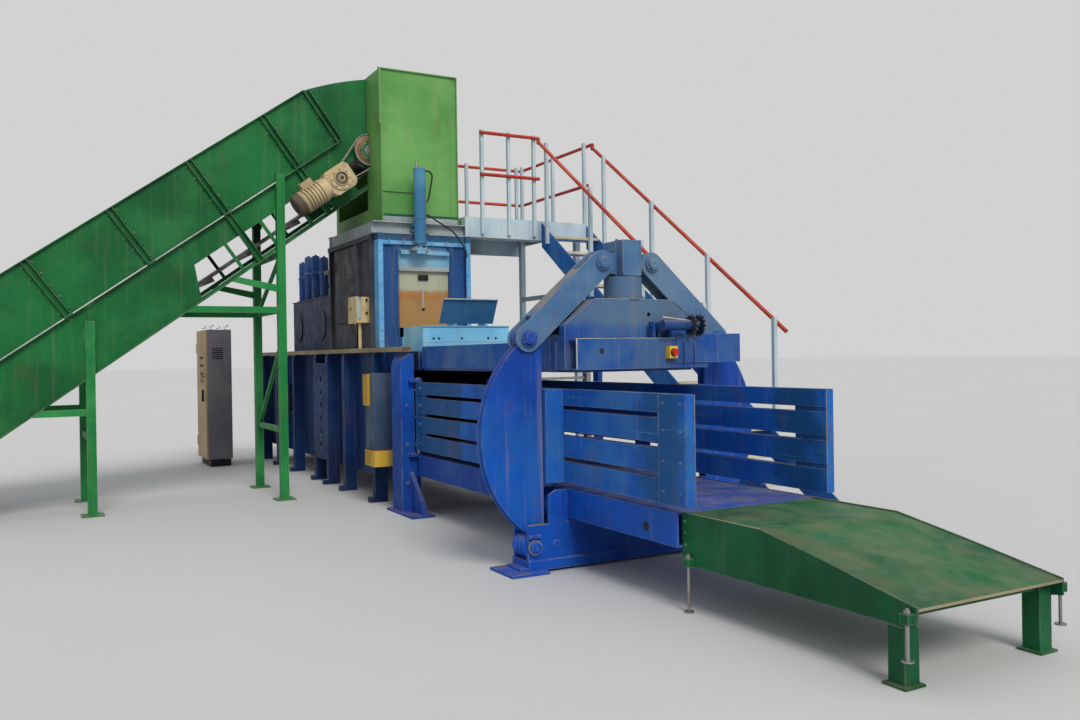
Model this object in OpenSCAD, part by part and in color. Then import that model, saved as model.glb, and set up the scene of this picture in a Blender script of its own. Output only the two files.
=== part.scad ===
// Channel baler with a fed hopper, a three-sided squeeze frame and an outlet ramp.
// Frame: +X is the way the bales leave, +Y is the stair side, +Z is up. The origin lies on
// the floor, on the channel's centre plane, under the middle of the squeeze frame.

/* [Channel] */
// Clear width of the channel and the press chamber
channel_w = 1100; // [900:10:1300]
// Height of the channel floor above the ground
floor_z = 600; // [560:5:700]
// Thickness of the swinging side walls
wall_t = 60; // [40:5:80]
// Clear gap under the side walls
wall_gap = 45; // [30:5:60]
// Height of the lowest three strips of a side wall
strip_h = 158; // [140:2:170]
// Height of the topmost strip of a side wall
top_strip_h = 122; // [90:2:150]
// Height of the slots between the strips
slot_h = 34; // [20:2:44]
// Distance from the squeeze frame forward to the end of the channel
outlet_x = 1665; // [1300:5:1900]
// Distance from the squeeze frame back to the side wall hinges
hinge_back = 2840; // [2600:10:3100]
// Height of the side beams under the channel floor
bed_h = 217; // [180:1:240]
// Height of the underside of the top plate above the channel floor
top_clear = 865; // [850:5:950]
// Height of the side beams of the top plate
top_beam_h = 240; // [180:5:260]

/* [Press] */
// Length of the hopper opening along the channel
feed_len = 1600; // [1500:10:1800]
// Distance from the squeeze frame back to the front edge of the hopper opening
feed_front = 4200; // [4100:10:4400]
// Stroke of the ram
ram_stroke = 2040; // [1800:10:2100]
// Length of the ram along the channel
ram_len = 2060; // [2045:5:2150]
// Height of the ram
ram_h = 830; // [780:5:840]
// Running gap on each side of the ram
ram_gap = 6; // [4:1:10]
// Outer radius of the main cylinder
main_r = 165; // [140:5:190]
// Radius of the main piston rod
main_rod_r = 90; // [70:5:110]
// Distance from the squeeze frame back to the end of the press frame
press_back = 9540; // [9400:10:9800]
// Thickness of the press side plates
side_t = 40; // [25:5:50]
// How far the outer ribs stand out from the side plates
rib_out = 150; // [110:5:180]
// Height of the top of the press frame
press_top = 1660; // [1640:5:1720]

/* [Squeeze frame] */
// How far the squeeze frame's middle plane stands in front of the origin
sq_x = 75; // [60:5:90]
// Half depth of the head box along the channel
sq_half = 165; // [160:5:190]
// Half width of the head box across the channel
head_half = 630; // [600:5:640]
// Half depth of the clevis beam at the foot of the squeeze frame
base_half = 115; // [105:5:130]
// Half thickness of a squeeze lever
lever_half = 45; // [40:1:50]
// Distance of the lower and upper lever pins from the centre plane
pin_y = 888; // [870:2:910]
// Height of the lower lever pins
low_pin_z = 190; // [180:2:200]
// Height of the upper lever pins
top_pin_z = 1722; // [1700:2:1740]
// Distance of the crosshead pins from the centre plane
head_pin_y = 230; // [220:5:250]
// Height of the crosshead pins at rest
head_pin_z = 2303; // [2280:1:2330]
// Radius of the squeeze pins
pin_r = 45; // [35:1:50]
// Radius of the curved outer edge of a lever
lever_arc_r = 900; // [880:5:950]
// Distance of the lever's curved edge from the centre plane, at its widest
lever_out = 1265; // [1240:5:1290]
// Distance of the lever's straight inner edge from the centre plane
lever_in = 766; // [760:1:775]
// Thickness of the plates of the squeeze links
link_t = 22; // [16:1:26]
// Half width of a squeeze link
link_half = 98; // [85:1:105]
// Outer radius of the squeeze cylinder
squeeze_r = 150; // [125:5:155]
// Stroke of the squeeze cylinder
squeeze_stroke = 110; // [60:5:120]

/* [Hopper and hood] */
// Height of the underside of the platform beam that carries the hood
beam_z = 3025; // [2950:5:3100]
// Height of the platform beam
beam_h = 140; // [100:5:180]
// Outer width of the gate frame
gate_w = 1150; // [1100:10:1200]
// Height of the green feed hood
hood_h = 1690; // [1500:10:1800]
// Width of the feed hood across the channel
hood_w = 960; // [900:10:1000]
// Thickness of hopper and hood sheet
sheet_t = 8; // [5:1:12]
// Stroke of the tamper gate
tamper_stroke = 270; // [200:10:280]
// Radius of the tamper cylinder
tamper_r = 68; // [50:2:80]

/* [Feed conveyor] */
// Slope of the feed conveyor in degrees
slope = 35.7; // [33:0.1:37]
// Outer width of the conveyor frame
conv_w = 1140; // [1000:10:1160]
// Distance from the squeeze frame back to the near side plate of the conveyor
conv_front = 4635; // [4600:5:4700]
// Height of the side boards above the deck line, square to the slope
board_h = 690; // [600:10:750]
// Spacing of the ribs on the side boards along the slope
rib_pitch = 985; // [800:5:1100]
// Radius of the conveyor pulleys
pulley_r = 150; // [120:5:180]
// Distance of the head pulley from the centre plane
drum_y = 474; // [465:1:480]
// Height of the head pulley
drum_z = 4070; // [4050:5:4090]
// Distance of the drive's output shaft from the centre plane
drive_y = 885; // [860:5:910]
// Height of the drive's output shaft
drive_z = 3674; // [3650:2:3700]
// Radius of the chain wheel on the head pulley
chain_wheel_r = 185; // [150:5:188]
// Distance of the tail pulley from the centre plane
tail_y = 5150; // [4900:10:5300]
// Thickness of the conveyor belt
belt_t = 14; // [8:1:18]
// Height of the belt cleats
cleat_h = 50; // [30:5:60]

/* [Needles] */
// How far the needle rails reach out from the press side
needle_reach = 1500; // [1480:10:1600]
// Distance between two needles
needle_pitch = 150; // [140:1:155]

/* [Hydraulic unit] */
// Length of the oil tank
tank_l = 2100; // [1900:50:2200]
// Height of the oil tank
tank_h = 720; // [600:10:760]
// Half width of the oil tank
tank_half = 480; // [420:10:500]

/* [Platform and stairs] */
// Height of the platform walking surface
platform_z = 3270; // [3200:5:3320]
// Near edge of the stairs, from the centre plane
stair_y = 1560; // [1500:10:1650]
// Clear width of the stairs
stair_w = 640; // [600:10:850]
// Fall of the stairs for each metre forward, in millimetres
stair_fall = 710; // [680:5:740]
// Number of treads
tread_n = 14; // [12:1:16]
// Height of the handrails above the platform
rail_h = 1050; // [950:10:1100]
// Distance from the handrail down to the knee rail
knee_drop = 500; // [450:10:550]
// Spacing of the posts along the stairs
post_pitch = 1000; // [900:10:1040]
// Radius of the handrail tube
rail_r = 21; // [17:1:25]

/* [Outlet ramp] */
// Length of the ramp
ramp_len = 1760; // [1600:10:1900]
// Drop of the ramp's surface at its end
ramp_drop = 200; // [150:5:230]
// Length of the level part of the ramp
ramp_level = 700; // [500:10:800]

/* [Cabinet] */
// Width of the control cabinet along the channel
cab_w = 800; // [600:10:1000]
// Depth of the control cabinet
cab_d = 350; // [300:10:450]
// Height of the control cabinet above its plinth
cab_h = 1950; // [1700:10:2100]

/* [Hidden] */
$fn = 48;
// Running clearance of pins and rods, radial
fit = 0.06;
// Gap between faces that move past each other
gap = 8;
// Gap of guides, hinge barrels and closed doors
seat = 0.3;
half_w = channel_w / 2;
wall_out = half_w + wall_t;
wall_z0 = floor_z + wall_gap;
wall_z1 = wall_z0 + 3 * (strip_h + slot_h) + top_strip_h;
top_z0 = floor_z + top_clear;
top_z1 = top_z0 + top_beam_h;
bed_z0 = floor_z - bed_h;
plate_t = 25;
hinge_x = -hinge_back;
feed_x1 = -feed_front;
feed_x0 = feed_x1 - feed_len;
press_x0 = -press_back;
post_x0 = hinge_x - 325;
post_x1 = post_x0 + 290;
ram_z0 = floor_z + gap;
ram_half = half_w - ram_gap;
ram_x1 = feed_x0;
ram_x0 = ram_x1 - ram_len;
side_out = half_w + side_t;
deck_t = 20;

blue = [0.11, 0.32, 0.66];
light_blue = [0.42, 0.66, 0.85];
green = [0.22, 0.56, 0.36];
hood_green = [0.47, 0.71, 0.45];
ramp_green = [0.10, 0.40, 0.26];
steel = [0.62, 0.63, 0.65];
grey = [0.55, 0.58, 0.60];
dark = [0.12, 0.12, 0.13];
yellow = [0.80, 0.62, 0.10];
red = [0.72, 0.16, 0.12];

// A block between two opposite corners
module block(a, b) translate(a) cube([b[0] - a[0], b[1] - a[1], b[2] - a[2]]);
// A flat shape drawn in Y and Z, drawn out along X
module along_x(x0, x1) translate([x0, 0, 0]) rotate([90, 0, 90]) linear_extrude(x1 - x0) children();
// A flat shape drawn in X and Z, drawn out along Y
module along_y(y0, y1) translate([0, y1, 0]) rotate([90, 0, 0]) linear_extrude(y1 - y0) children();
// Round bars along each axis
module bar_x(x0, x1, y, z, r) translate([x0, y, z]) rotate([0, 90, 0]) cylinder(h = x1 - x0, r = r);
module bar_y(x, y0, y1, z, r) translate([x, y1, z]) rotate([90, 0, 0]) cylinder(h = y1 - y0, r = r);
module bar_z(x, y, z0, z1, r) translate([x, y, z0]) cylinder(h = z1 - z0, r = r);
// The same shape on both sides of the centre plane
module both_sides() {
  children();
  mirror([0, 1, 0]) children();
}
// A square tube along Z
module post_tube(x, y, z0, z1, w, t) difference() {
  block([x - w / 2, y - w / 2, z0], [x + w / 2, y + w / 2, z1]);
  block([x - w / 2 + t, y - w / 2 + t, z0 - 1], [x + w / 2 - t, y + w / 2 - t, z1 + 1]);
}
// An I section, width w and height h, centred on its web, standing on zero
module i_section(w, h, t) {
  translate([-w / 2, 0]) square([w, t]);
  translate([-w / 2, h - t]) square([w, t]);
  translate([-t / 2, 0]) square([t, h]);
}
// Upright door hinge: the fixed end barrels with the pin, and the bore of the barrel between them
hinge_r = 9;
hinge_pin_r = 4;
hinge_h = 90;
module hinge_fixed(x, y, z, wall_y) {
  for (z1 = [z - 26, z + hinge_h + 1]) {
    bar_z(x, y, z1, z1 + 25, hinge_r);
    block([x - 4, min(y, wall_y), z1], [x + 4, max(y, wall_y), z1 + 25]);
  }
  bar_z(x, y, z - 26, z + hinge_h + 26, hinge_pin_r);
}
module hinge_bore(x, y, z) bar_z(x, y, z - 1, z + hinge_h + 1, hinge_pin_r + fit);
// A hexagon head or nut along Z
module hex_z(x, y, z0, h, r) translate([x, y, z0]) cylinder(h = h, r = r, $fn = 6);

// Press frame: side plates, ribs, rear crosshead and feet
rib_at = [feed_x1 + 360, feed_x1 - 735, feed_x0 + 165, feed_x0 - 385, feed_x0 - 1500, feed_x0 - 2500,
          press_x0 + 260];
rib_thick = 80;
needle_x = -3560;
needle_n = 5;
needle_z0 = floor_z + 120;
function needle_z(i) = needle_z0 + i * needle_pitch;
rear_t = 120;
main_z = ram_z0 + ram_h / 2;
module press_rib(x) along_x(x, x + rib_thick) difference() {
  union() {
    translate([-side_out - rib_out, 60]) square([rib_out, press_top - 60]);
    translate([-side_out - rib_out - 60, 0]) square([rib_out + 60, 60]);
  }
  translate([-side_out - rib_out, press_top - 60]) difference() {
    translate([-1, 0]) square([61, 61]);
    translate([60, 0]) circle(r = 60);
  }
}
// Cover with round openings between two ribs
module rib_cover(x0, x1) difference() {
  block([x0, -side_out - rib_out, 300], [x1, -side_out - rib_out + 12, press_top - 120]);
  for (z = [480 : 170 : 1400]) bar_y((x0 + x1) / 2, -side_out - rib_out - 1, -side_out - rib_out + 13, z, 45);
}
// Lug of the top plate hinge
module hinge_lug(y) along_y(y, y + 30) union() {
  translate([top_hinge_x, top_hinge_z]) circle(r = 48);
  translate([sbox_x1 - 1, top_hinge_z - 48]) square([top_hinge_x - sbox_x1 + 1, 60]);
}
module needle_slots(y0, y1) for (i = [0 : needle_n - 1])
  block([needle_x - 30, y0, needle_z(i) - 30], [needle_x + 30, y1, needle_z(i) + 30]);
module press_frame() color(blue) {
  difference() {
    union() {
      both_sides() block([press_x0, -side_out, 250], [post_x0, -half_w, press_top]);
      both_sides() for (x = rib_at) press_rib(x);
      both_sides() rib_cover(feed_x0 - 385, feed_x0 + 245);
      both_sides() for (y = [-335, -195]) hinge_lug(y);
      both_sides() bar_y(top_hinge_x, -340, -160, top_hinge_z, 30);
      both_sides() block([press_x0, -side_out - rib_out, 0], [press_x0 + rear_t, -half_w, press_top]);
      block([press_x0, -half_w, 250], [press_x0 + rear_t, half_w, press_top]);
      block([press_x0, -half_w, floor_z - 120], [post_x0, half_w, floor_z - deck_t]);
      for (x = [feed_x0 - 300 : -900 : press_x0 + 500])
        block([x, -half_w, press_top - 140], [x + 160, half_w, press_top]);
      block([feed_x1 + 20, -half_w, top_z0], [sbox_x1, half_w, press_top]);
    }
    bar_x(press_x0 - 1, press_x0 + rear_t + 1, 0, main_z, main_r * 0.7);
    needle_slots(-side_out - 1, side_out + 1);
    both_sides() block([feed_x0 - 2300, -side_out - 1, ram_z0 + 200],
                       [feed_x0 - 1800, -half_w + 1, ram_z0 + ram_h - 200]);
  }
}
// Wear plates on the chamber floor
module chamber_liner() color(steel) difference() {
  block([ram_x0 - 60, -half_w, floor_z - deck_t], [post_x0, half_w, floor_z]);
  for (x = [feed_x0 - 1500 : 600 : post_x0 - 200], y = [-400, 0, 400])
    bar_z(x, y, floor_z - 12, floor_z + 1, 14, $fn = 16);
}
// Fixed knife on the front edge of the feed opening
shear_h = 70;
module shear_bar() color(steel) difference() {
  along_y(-half_w, half_w) polygon([[feed_x1 + 20, top_z0], [feed_x1 + 20, top_z0 + shear_h],
    [feed_x1 - 30, top_z0 + shear_h], [feed_x1 - 30, top_z0 + 20], [feed_x1 - 12, top_z0]]);
  for (i = [-3 : 3]) bar_x(feed_x1 - 31, feed_x1 - 12, i * 150, top_z0 + 42, 12, $fn = 16);
}
// Main cylinder, flanged to the rear crosshead
main_bore = main_r - 25;
rod_x0 = press_x0 + rear_t + 80;
piston_l = 120;
main_x1 = rod_x0 + piston_l + ram_stroke + 90;
module main_cylinder() color(blue) difference() {
  union() {
    bar_x(press_x0 + rear_t, main_x1, 0, main_z, main_r);
    bar_x(press_x0 + rear_t, press_x0 + rear_t + 60, 0, main_z, main_r + 60);
    bar_x(main_x1 - 70, main_x1, 0, main_z, main_r + 30);
    bar_z(press_x0 + 330, 0, main_z, main_z + main_r + 70, 40);
    bar_z(main_x1 - 160, 0, main_z, main_z + main_r + 70, 40);
  }
  bar_x(press_x0 + rear_t + 60, main_x1 - 80, 0, main_z, main_bore);
  bar_x(press_x0 + rear_t + 60, main_x1 + 1, 0, main_z, main_rod_r + fit);
  for (a = [0 : 45 : 315]) translate([press_x0 + rear_t - 1, 0, main_z]) rotate([a, 0, 0])
    translate([0, main_r + 35, 0]) rotate([0, 90, 0]) cylinder(h = 62, r = 14, $fn = 16);
}
// Main piston and rod, drawn back
rod_seat = ram_x1 - 330;
module main_rod() color(steel) {
  bar_x(rod_x0, rod_x0 + piston_l, 0, main_z, main_bore - fit);
  bar_x(rod_x0 + piston_l, rod_seat, 0, main_z, main_rod_r);
}
// Ram: a box carriage, open at the back for the cylinder, with wear shoes
ram_wall = 60;
module ram() color(blue) difference() {
  union() {
    block([ram_x0, -ram_half, ram_z0 + 12], [ram_x1, ram_half, ram_z0 + ram_h]);
    both_sides() for (x = [ram_x0 + 40, ram_x1 - 440])
      block([x, -ram_half + 40, floor_z + 1], [x + 400, -ram_half + 240, ram_z0 + 13]);
  }
  block([ram_x0 - 1, -ram_half + ram_wall, ram_z0 + 12 + ram_wall],
        [ram_x1 - 380, ram_half - ram_wall, ram_z0 + ram_h - ram_wall]);
  bar_x(ram_x1 - 381, rod_seat, 0, main_z, main_rod_r);
  for (i = [0 : needle_n - 1])
    block([ram_x1 - 90, -ram_half - 1, needle_z(i) - 22], [ram_x1 + 1, ram_half + 1, needle_z(i) + 22]);
}

// Channel bed: side beams, floor and cross members
bed_x0 = post_x1 + 80;
bed_x1 = outlet_x - 130;
bed_beam_w = 90;
module channel_bed() color(blue) {
  both_sides() difference() {
    block([bed_x0, -wall_out + 10, bed_z0], [bed_x1, -wall_out + 10 + bed_beam_w, floor_z]);
    block([bed_x0 - 1, -wall_out + 22, bed_z0 + 12], [bed_x1 + 1, -wall_out - 2 + bed_beam_w, floor_z - 12]);
  }
  block([post_x0, -half_w + 20, floor_z - deck_t], [bed_x1, half_w - 20, floor_z]);
  for (x = [bed_x0 + 200 : 640 : bed_x1 - 200])
    along_x(x, x + 80) difference() {
      translate([-half_w + 30, bed_z0]) square([channel_w - 60, bed_h - deck_t]);
      for (i = [-2 : 2]) translate([i * 200, bed_z0 + bed_h / 2 - 10]) circle(r = 50);
    }
}
// Posts that carry the side wall hinges and the front of the press frame
post_out = side_out + rib_out + 10;
post_wide = post_out - wall_out - 2;
module hinge_posts() color(blue) both_sides() difference() {
  union() {
    block([post_x0, -post_out, 20], [post_x1, -wall_out - 2, press_top - 160]);
    along_x(post_x0, post_x1) intersection() {
      translate([-post_out, press_top - 160]) square([post_wide, post_wide]);
      translate([-wall_out - 2, press_top - 160]) circle(r = post_wide);
    }
    block([post_x0, -wall_out - 2, 20], [post_x1, -half_w - 2, wall_z0 - 60]);
    block([post_x0 - 60, -post_out - 50, 0], [post_x1 + 380, -half_w - 2, 20]);
    along_y(-wall_out - 60, -wall_out - 20)
      polygon([[post_x1, 20], [post_x1 + 370, 20], [post_x1 + 300, 150], [post_x1, 420]]);
    for (z = [wall_z0 - 50, wall_z1 + 12])
      block([post_x1 - 60, -wall_out - 70, z - 10], [hinge_x + 38, -half_w, z + 20]);
  }
  for (x = [post_x0 - 30, post_x1 + 340]) bar_z(x, -post_out - 25, -1, 21, 14);
  for (z = [wall_z0 - 50, wall_z1 + 12])
    bar_z(hinge_x, -half_w - wall_t / 2, z - 11, z + 21, 22 + fit);
}
// Swinging side walls with slots, end stiffeners and lever pads
pad_half = 80;
wall_x0 = hinge_x + 55;
knuckle_r = wall_t / 2;
module side_wall() difference() {
  union() {
    for (i = [0 : 3]) {
      z = wall_z0 + i * (strip_h + slot_h);
      block([wall_x0, -wall_out, z], [outlet_x, -half_w, z + (i < 3 ? strip_h : top_strip_h)]);
    }
    for (x = [wall_x0 - 1, -600, outlet_x - 300])
      block([x, -wall_out + 12, wall_z0], [x + (x > 0 ? 300 : 180), -half_w - 12, wall_z1]);
    block([outlet_x - 300, -wall_out - 8, wall_z0], [outlet_x, -wall_out + 13, wall_z1]);
    block([sq_x - pad_half, -lever_in + gap, wall_z0], [sq_x + pad_half, -wall_out + 13, wall_z1]);
    bar_z(hinge_x, -half_w - wall_t / 2, wall_z0, wall_z1, knuckle_r);
    block([hinge_x, -half_w - wall_t / 2 - 20, wall_z0], [wall_x0 + 1, -half_w - wall_t / 2 + 20, wall_z1]);
  }
  bar_z(hinge_x, -half_w - wall_t / 2, wall_z0 - 1, wall_z1 + 1, 22 + fit);
}
module side_wall_near() color(blue) side_wall();
module side_wall_far() color(blue) mirror([0, 1, 0]) side_wall();
module wall_hinge_pins() color(steel) both_sides() {
  bar_z(hinge_x, -half_w - wall_t / 2, wall_z0 - 60, wall_z1 + 32, 22);
  bar_z(hinge_x, -half_w - wall_t / 2, wall_z1 + 32, wall_z1 + 44, 32);
}

// Top plate with its side beams, head box and front beam
top_hinge_x = post_x1 + 60;
top_hinge_z = top_z1 - 60;
beam_y1 = half_w + 10;
head_top = 2019;
head_corner = 1815;
head_flat = 361;
front_beam = 120;
front_beam_y = 605;
head_wall = 25;
head_x0 = sq_x - sq_half;
head_x1 = sq_x + sq_half;
beam_x1 = head_x1 + front_beam;
module head_outline() polygon([[-head_half, top_z0 + 20], [-head_half, head_corner], [-head_flat, head_top],
  [head_flat, head_top], [head_half, head_corner], [head_half, top_z0 + 20]]);
module head_cover() difference() {
  head_outline();
  translate([0, -18]) head_outline();
  translate([-head_half - 1, 0]) square([2 * head_half + 2, head_corner - 20]);
}
module top_plate() color(blue) difference() {
  union() {
    block([top_hinge_x + 50, -half_w + 10, top_z0], [head_x1, half_w - 10, top_z0 + plate_t]);
    both_sides() block([top_hinge_x + 50, -beam_y1, top_z0 + plate_t - 1], [head_x0, -beam_y1 + 90, top_z1]);
    for (x = [-2300, -1700, -1100, -500])
      block([x, -half_w + 60, top_z0 + plate_t - 1], [x + 60, half_w - 60, top_z1 - 60]);
    for (x = [head_x0, head_x1 - head_wall]) along_x(x, x + head_wall) head_outline();
    both_sides() {
      block([head_x0, -head_half, top_z0 + 20], [head_x1, -head_half + 20, head_corner - 8]);
      block([head_x0, -head_flat - 59, top_z0 + 20], [head_x1, -head_flat - 39, head_top - 75]);
      for (x = [head_x0 + 110, head_x0 + 200])
        block([x, -head_half - 12, top_z0 + 20], [x + 12, -head_half + 1, head_corner - 120]);
    }
    block([head_x0, -head_half, top_z1], [head_x1, head_half, top_z1 + 30]);
    along_x(head_x0, head_x1) head_cover();
    block([head_x1 - 1, -front_beam_y, top_z0 + 20], [beam_x1, front_beam_y, top_z1 + 10]);
    block([beam_x1 - 1, wing_y0, top_z0 + 60], [beam_x1 + 12, wing_y1, wing_z1]);
    for (y = [360, 460]) block([beam_x1 + 11, y, top_z0 + 60], [beam_x1 + 26, y + 14, top_z1 - 20]);
    both_sides() block([top_hinge_x, -300, top_hinge_z - 50], [top_hinge_x + 60, -200, top_hinge_z + 50]);
    both_sides() bar_y(top_hinge_x, -300, -200, top_hinge_z, 50);
    both_sides()
      block([top_hinge_x + 50, -300, top_z0 + plate_t - 1], [top_hinge_x + 110, -200, top_hinge_z + 50]);
  }
  both_sides() bar_y(top_hinge_x, -301, -199, top_hinge_z, 30 + fit);
  for (x = [head_x0 - 1, head_x1 - head_wall - 1])
    bar_x(x, x + head_wall + 2, 131, 1903, 18);
  bar_z(sq_x, 0, head_top - 30, head_top + 1, squeeze_r - 12 + 0.3);
  block([head_x1 + 12, -front_beam_y - 1, top_z0 + 32], [beam_x1 - 12, front_beam_y + 1, top_z1 - 2]);
  bar_y(star_x, star_y - 60, star_y + 60, star_piv_z, star_r + 12);
  both_sides() along_x(sq_x - link_out - 8, sq_x + link_out + 8)
    polygon([[-470, head_top], [-470, 1932], [-head_half - 13, 1712], [-head_half - 13, head_top]]);
}
// Wing plate that guards the star wheel, on the front beam
wing_y0 = 300;
wing_y1 = 930;
wing_z1 = 1750;
// Squeeze cylinder standing in the head box
sq_z0 = top_z1 + 30;
sq_z1 = head_pin_z - 105;
squeeze_rod_r = 70;
module squeeze_cylinder() color(blue) difference() {
  union() {
    bar_z(sq_x, 0, sq_z0, sq_z1, squeeze_r - 12);
    bar_z(sq_x, 0, head_top, sq_z1, squeeze_r);
  }
  bar_z(sq_x, 0, sq_z0 + 40, sq_z1 - 70, squeeze_r - 30);
  bar_z(sq_x, 0, sq_z1 - 71, sq_z1 + 1, squeeze_rod_r + fit);
}
// Crosshead with its piston rod and both link pins
ear_half = lever_half - 1;
head_block = 134;
module crosshead() color(blue) {
  difference() {
    union() {
      block([sq_x - head_block, -84, sq_z1 + 8], [sq_x + head_block, 84, head_pin_z + 180]);
      both_sides() along_x(sq_x - ear_half, sq_x + ear_half) union() {
        translate([-head_pin_y, head_pin_z]) circle(r = 80);
        translate([-head_pin_y, head_pin_z - 80]) square([head_pin_y, 160]);
      }
      both_sides()
        block([sq_x - head_block, -92, sq_z1 + 8], [sq_x - head_block + 180, -83, head_pin_z + 170]);
    }
    both_sides() bar_x(sq_x - ear_half - 1, sq_x + ear_half + 1, -head_pin_y, head_pin_z, pin_r);
  }
  bar_z(sq_x, 0, squeeze_piston_z - 1, sq_z1 + 9, squeeze_rod_r);
  bar_z(sq_x, 0, squeeze_piston_z - 90, squeeze_piston_z, squeeze_r - 30 - fit);
  color(steel) both_sides() translate([sq_x, 0, 0]) {
    bar_x(-link_out - 4, link_out + 4, -head_pin_y, head_pin_z, pin_r);
    for (x = [-link_out - 20, link_out + 4]) bar_x(x, x + 16, -head_pin_y, head_pin_z, pin_r + 14);
  }
}
squeeze_piston_z = sq_z1 - 78 - squeeze_stroke;
// Squeeze links: two plates with a cover along the upper edge
link_in = lever_half + 8;
link_out = link_in + link_t;
link_dy = pin_y - head_pin_y;
link_dz = head_pin_z - top_pin_z;
link_len = sqrt(link_dy * link_dy + link_dz * link_dz);
link_ang = atan2(link_dz, link_dy);
open_gap = 7;
link_play = 10;
module link_shape(r_low) difference() {
  union() {
    circle(r = link_half);
    translate([-link_len, -link_half]) square([link_len, 2 * link_half]);
    translate([-link_len, 0]) circle(r = link_half);
  }
  circle(r = pin_r + fit);
  translate([-link_len, 0]) circle(r = r_low);
}
module link_arm() translate([sq_x, -head_pin_y, head_pin_z]) rotate([link_ang, 0, 0]) {
  along_x(link_in, link_out) link_shape(pin_r + open_gap);
  along_x(-link_out, -link_in) link_shape(pin_r + open_gap);
  along_x(-link_in - 1, link_in + 1)
    translate([-link_len + 150, link_half - 22]) square([link_len - 330, 22]);
}
module link_near() color(blue) link_arm();
module link_far() color(blue) mirror([0, 1, 0]) link_arm();
// Squeeze levers: curved outside, straight inside, with a boss at each pin
lever_cy = lever_out - lever_arc_r;
lever_cz = 1000;
boss_r = 88;
module lever_blank(inset) {
  intersection() {
    translate([-lever_cy, lever_cz]) circle(r = lever_arc_r - inset, $fn = 160);
    translate([-lever_out, low_pin_z - 40]) square([lever_out - lever_in - inset, top_pin_z - low_pin_z + 90]);
  }
  for (z = [low_pin_z, top_pin_z]) translate([-pin_y, z]) circle(r = boss_r - inset * 0.5);
}
module lever() translate([sq_x, 0, 0]) {
  difference() {
    union() {
      for (x = [-lever_half, lever_half - 20]) along_x(x, x + 20) lever_blank(0);
      along_x(-lever_half + 19, lever_half - 19) difference() {
        lever_blank(10);
        translate([-lever_cy, lever_cz]) intersection() {
          circle(r = lever_arc_r - 50, $fn = 120);
          translate([-lever_arc_r, -560]) square([lever_arc_r + lever_cy - lever_in - 50, 1080]);
        }
      }
      bar_x(-lever_half - 1, lever_half + 1, -pin_y, top_pin_z, pin_r + 22);
      bar_x(-base_half + base_plate + 3, base_half - base_plate - 3, -pin_y, low_pin_z, boss_r - 8);
      block([lever_half - 1, -pin_y - 26, lever_strip_z0],
            [lever_half + 5, -pin_y + 26, top_pin_z - boss_r - 10]);
    }
    for (z = [low_pin_z, top_pin_z]) bar_x(-base_half, base_half, -pin_y, z, pin_r + fit);
  }
  color(steel) {
    bar_x(-link_out - link_play, link_out + link_play, -pin_y, top_pin_z, pin_r);
    for (x = [-link_out - link_play - 16, link_out + link_play])
      bar_x(x, x + 16, -pin_y, top_pin_z, pin_r + 16);
  }
}
lever_strip_z0 = 1150;
module lever_near() color(blue) lever();
module lever_far() color(blue) mirror([0, 1, 0]) lever();
// Base of the squeeze frame: clevis beam, skids and gussets
base_z0 = 90;
base_z1 = 350;
base_y = 940;
base_plate = 25;
module squeeze_base() color(blue) translate([sq_x, 0, 0]) difference() {
  union() {
    for (x = [-base_half, base_half - base_plate])
      block([x, -base_y, base_z0], [x + base_plate, base_y, base_z1]);
    block([-base_half, -lever_in + 60, base_z0], [base_half, lever_in - 60, base_z0 + 20]);
    block([-base_half, -lever_in + 60, base_z1 - 20], [base_half, lever_in - 60, base_z1]);
    block([-base_half - 20, -base_y, 20], [base_half + 20, base_y, base_z0]);
    both_sides() {
      block([-base_half - 60, -1110, 0], [base_half + 80, -800, 20]);
      block([-base_half, -base_y - 60, 20], [base_half, -base_y + 1, 40]);
      for (x = [-base_half, base_half - base_plate]) along_x(x, x + base_plate)
        polygon([[-760, base_z1 - 1], [-760, 560], [-700, floor_z - 4], [-560, floor_z - 4],
          [-480, base_z1 - 1]]);
      block([-base_half + 10, -wall_out + 10, base_z1 - 1], [base_half - 10, -wall_out + 90, bed_z0]);
    }
    block([-60, -800, 0], [60, 800, 20]);
  }
  both_sides() {
    for (x = [-base_half - 20, base_half + 40]) bar_z(x, -1060, -1, 21, 14);
    bar_x(-base_half - 1, base_half + 1, -pin_y, low_pin_z, pin_r);
    block([-base_half - 1, -wall_out + 8, bed_z0], [base_half + 1, -480, floor_z + 1]);
  }
}
module base_pins() color(steel) translate([sq_x, 0, 0]) both_sides() {
  bar_x(-base_half - 14, base_half + 14, -pin_y, low_pin_z, pin_r);
  for (x = [-base_half - 24, base_half + 10]) bar_x(x, x + 14, -pin_y, low_pin_z, pin_r + 12);
}

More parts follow.
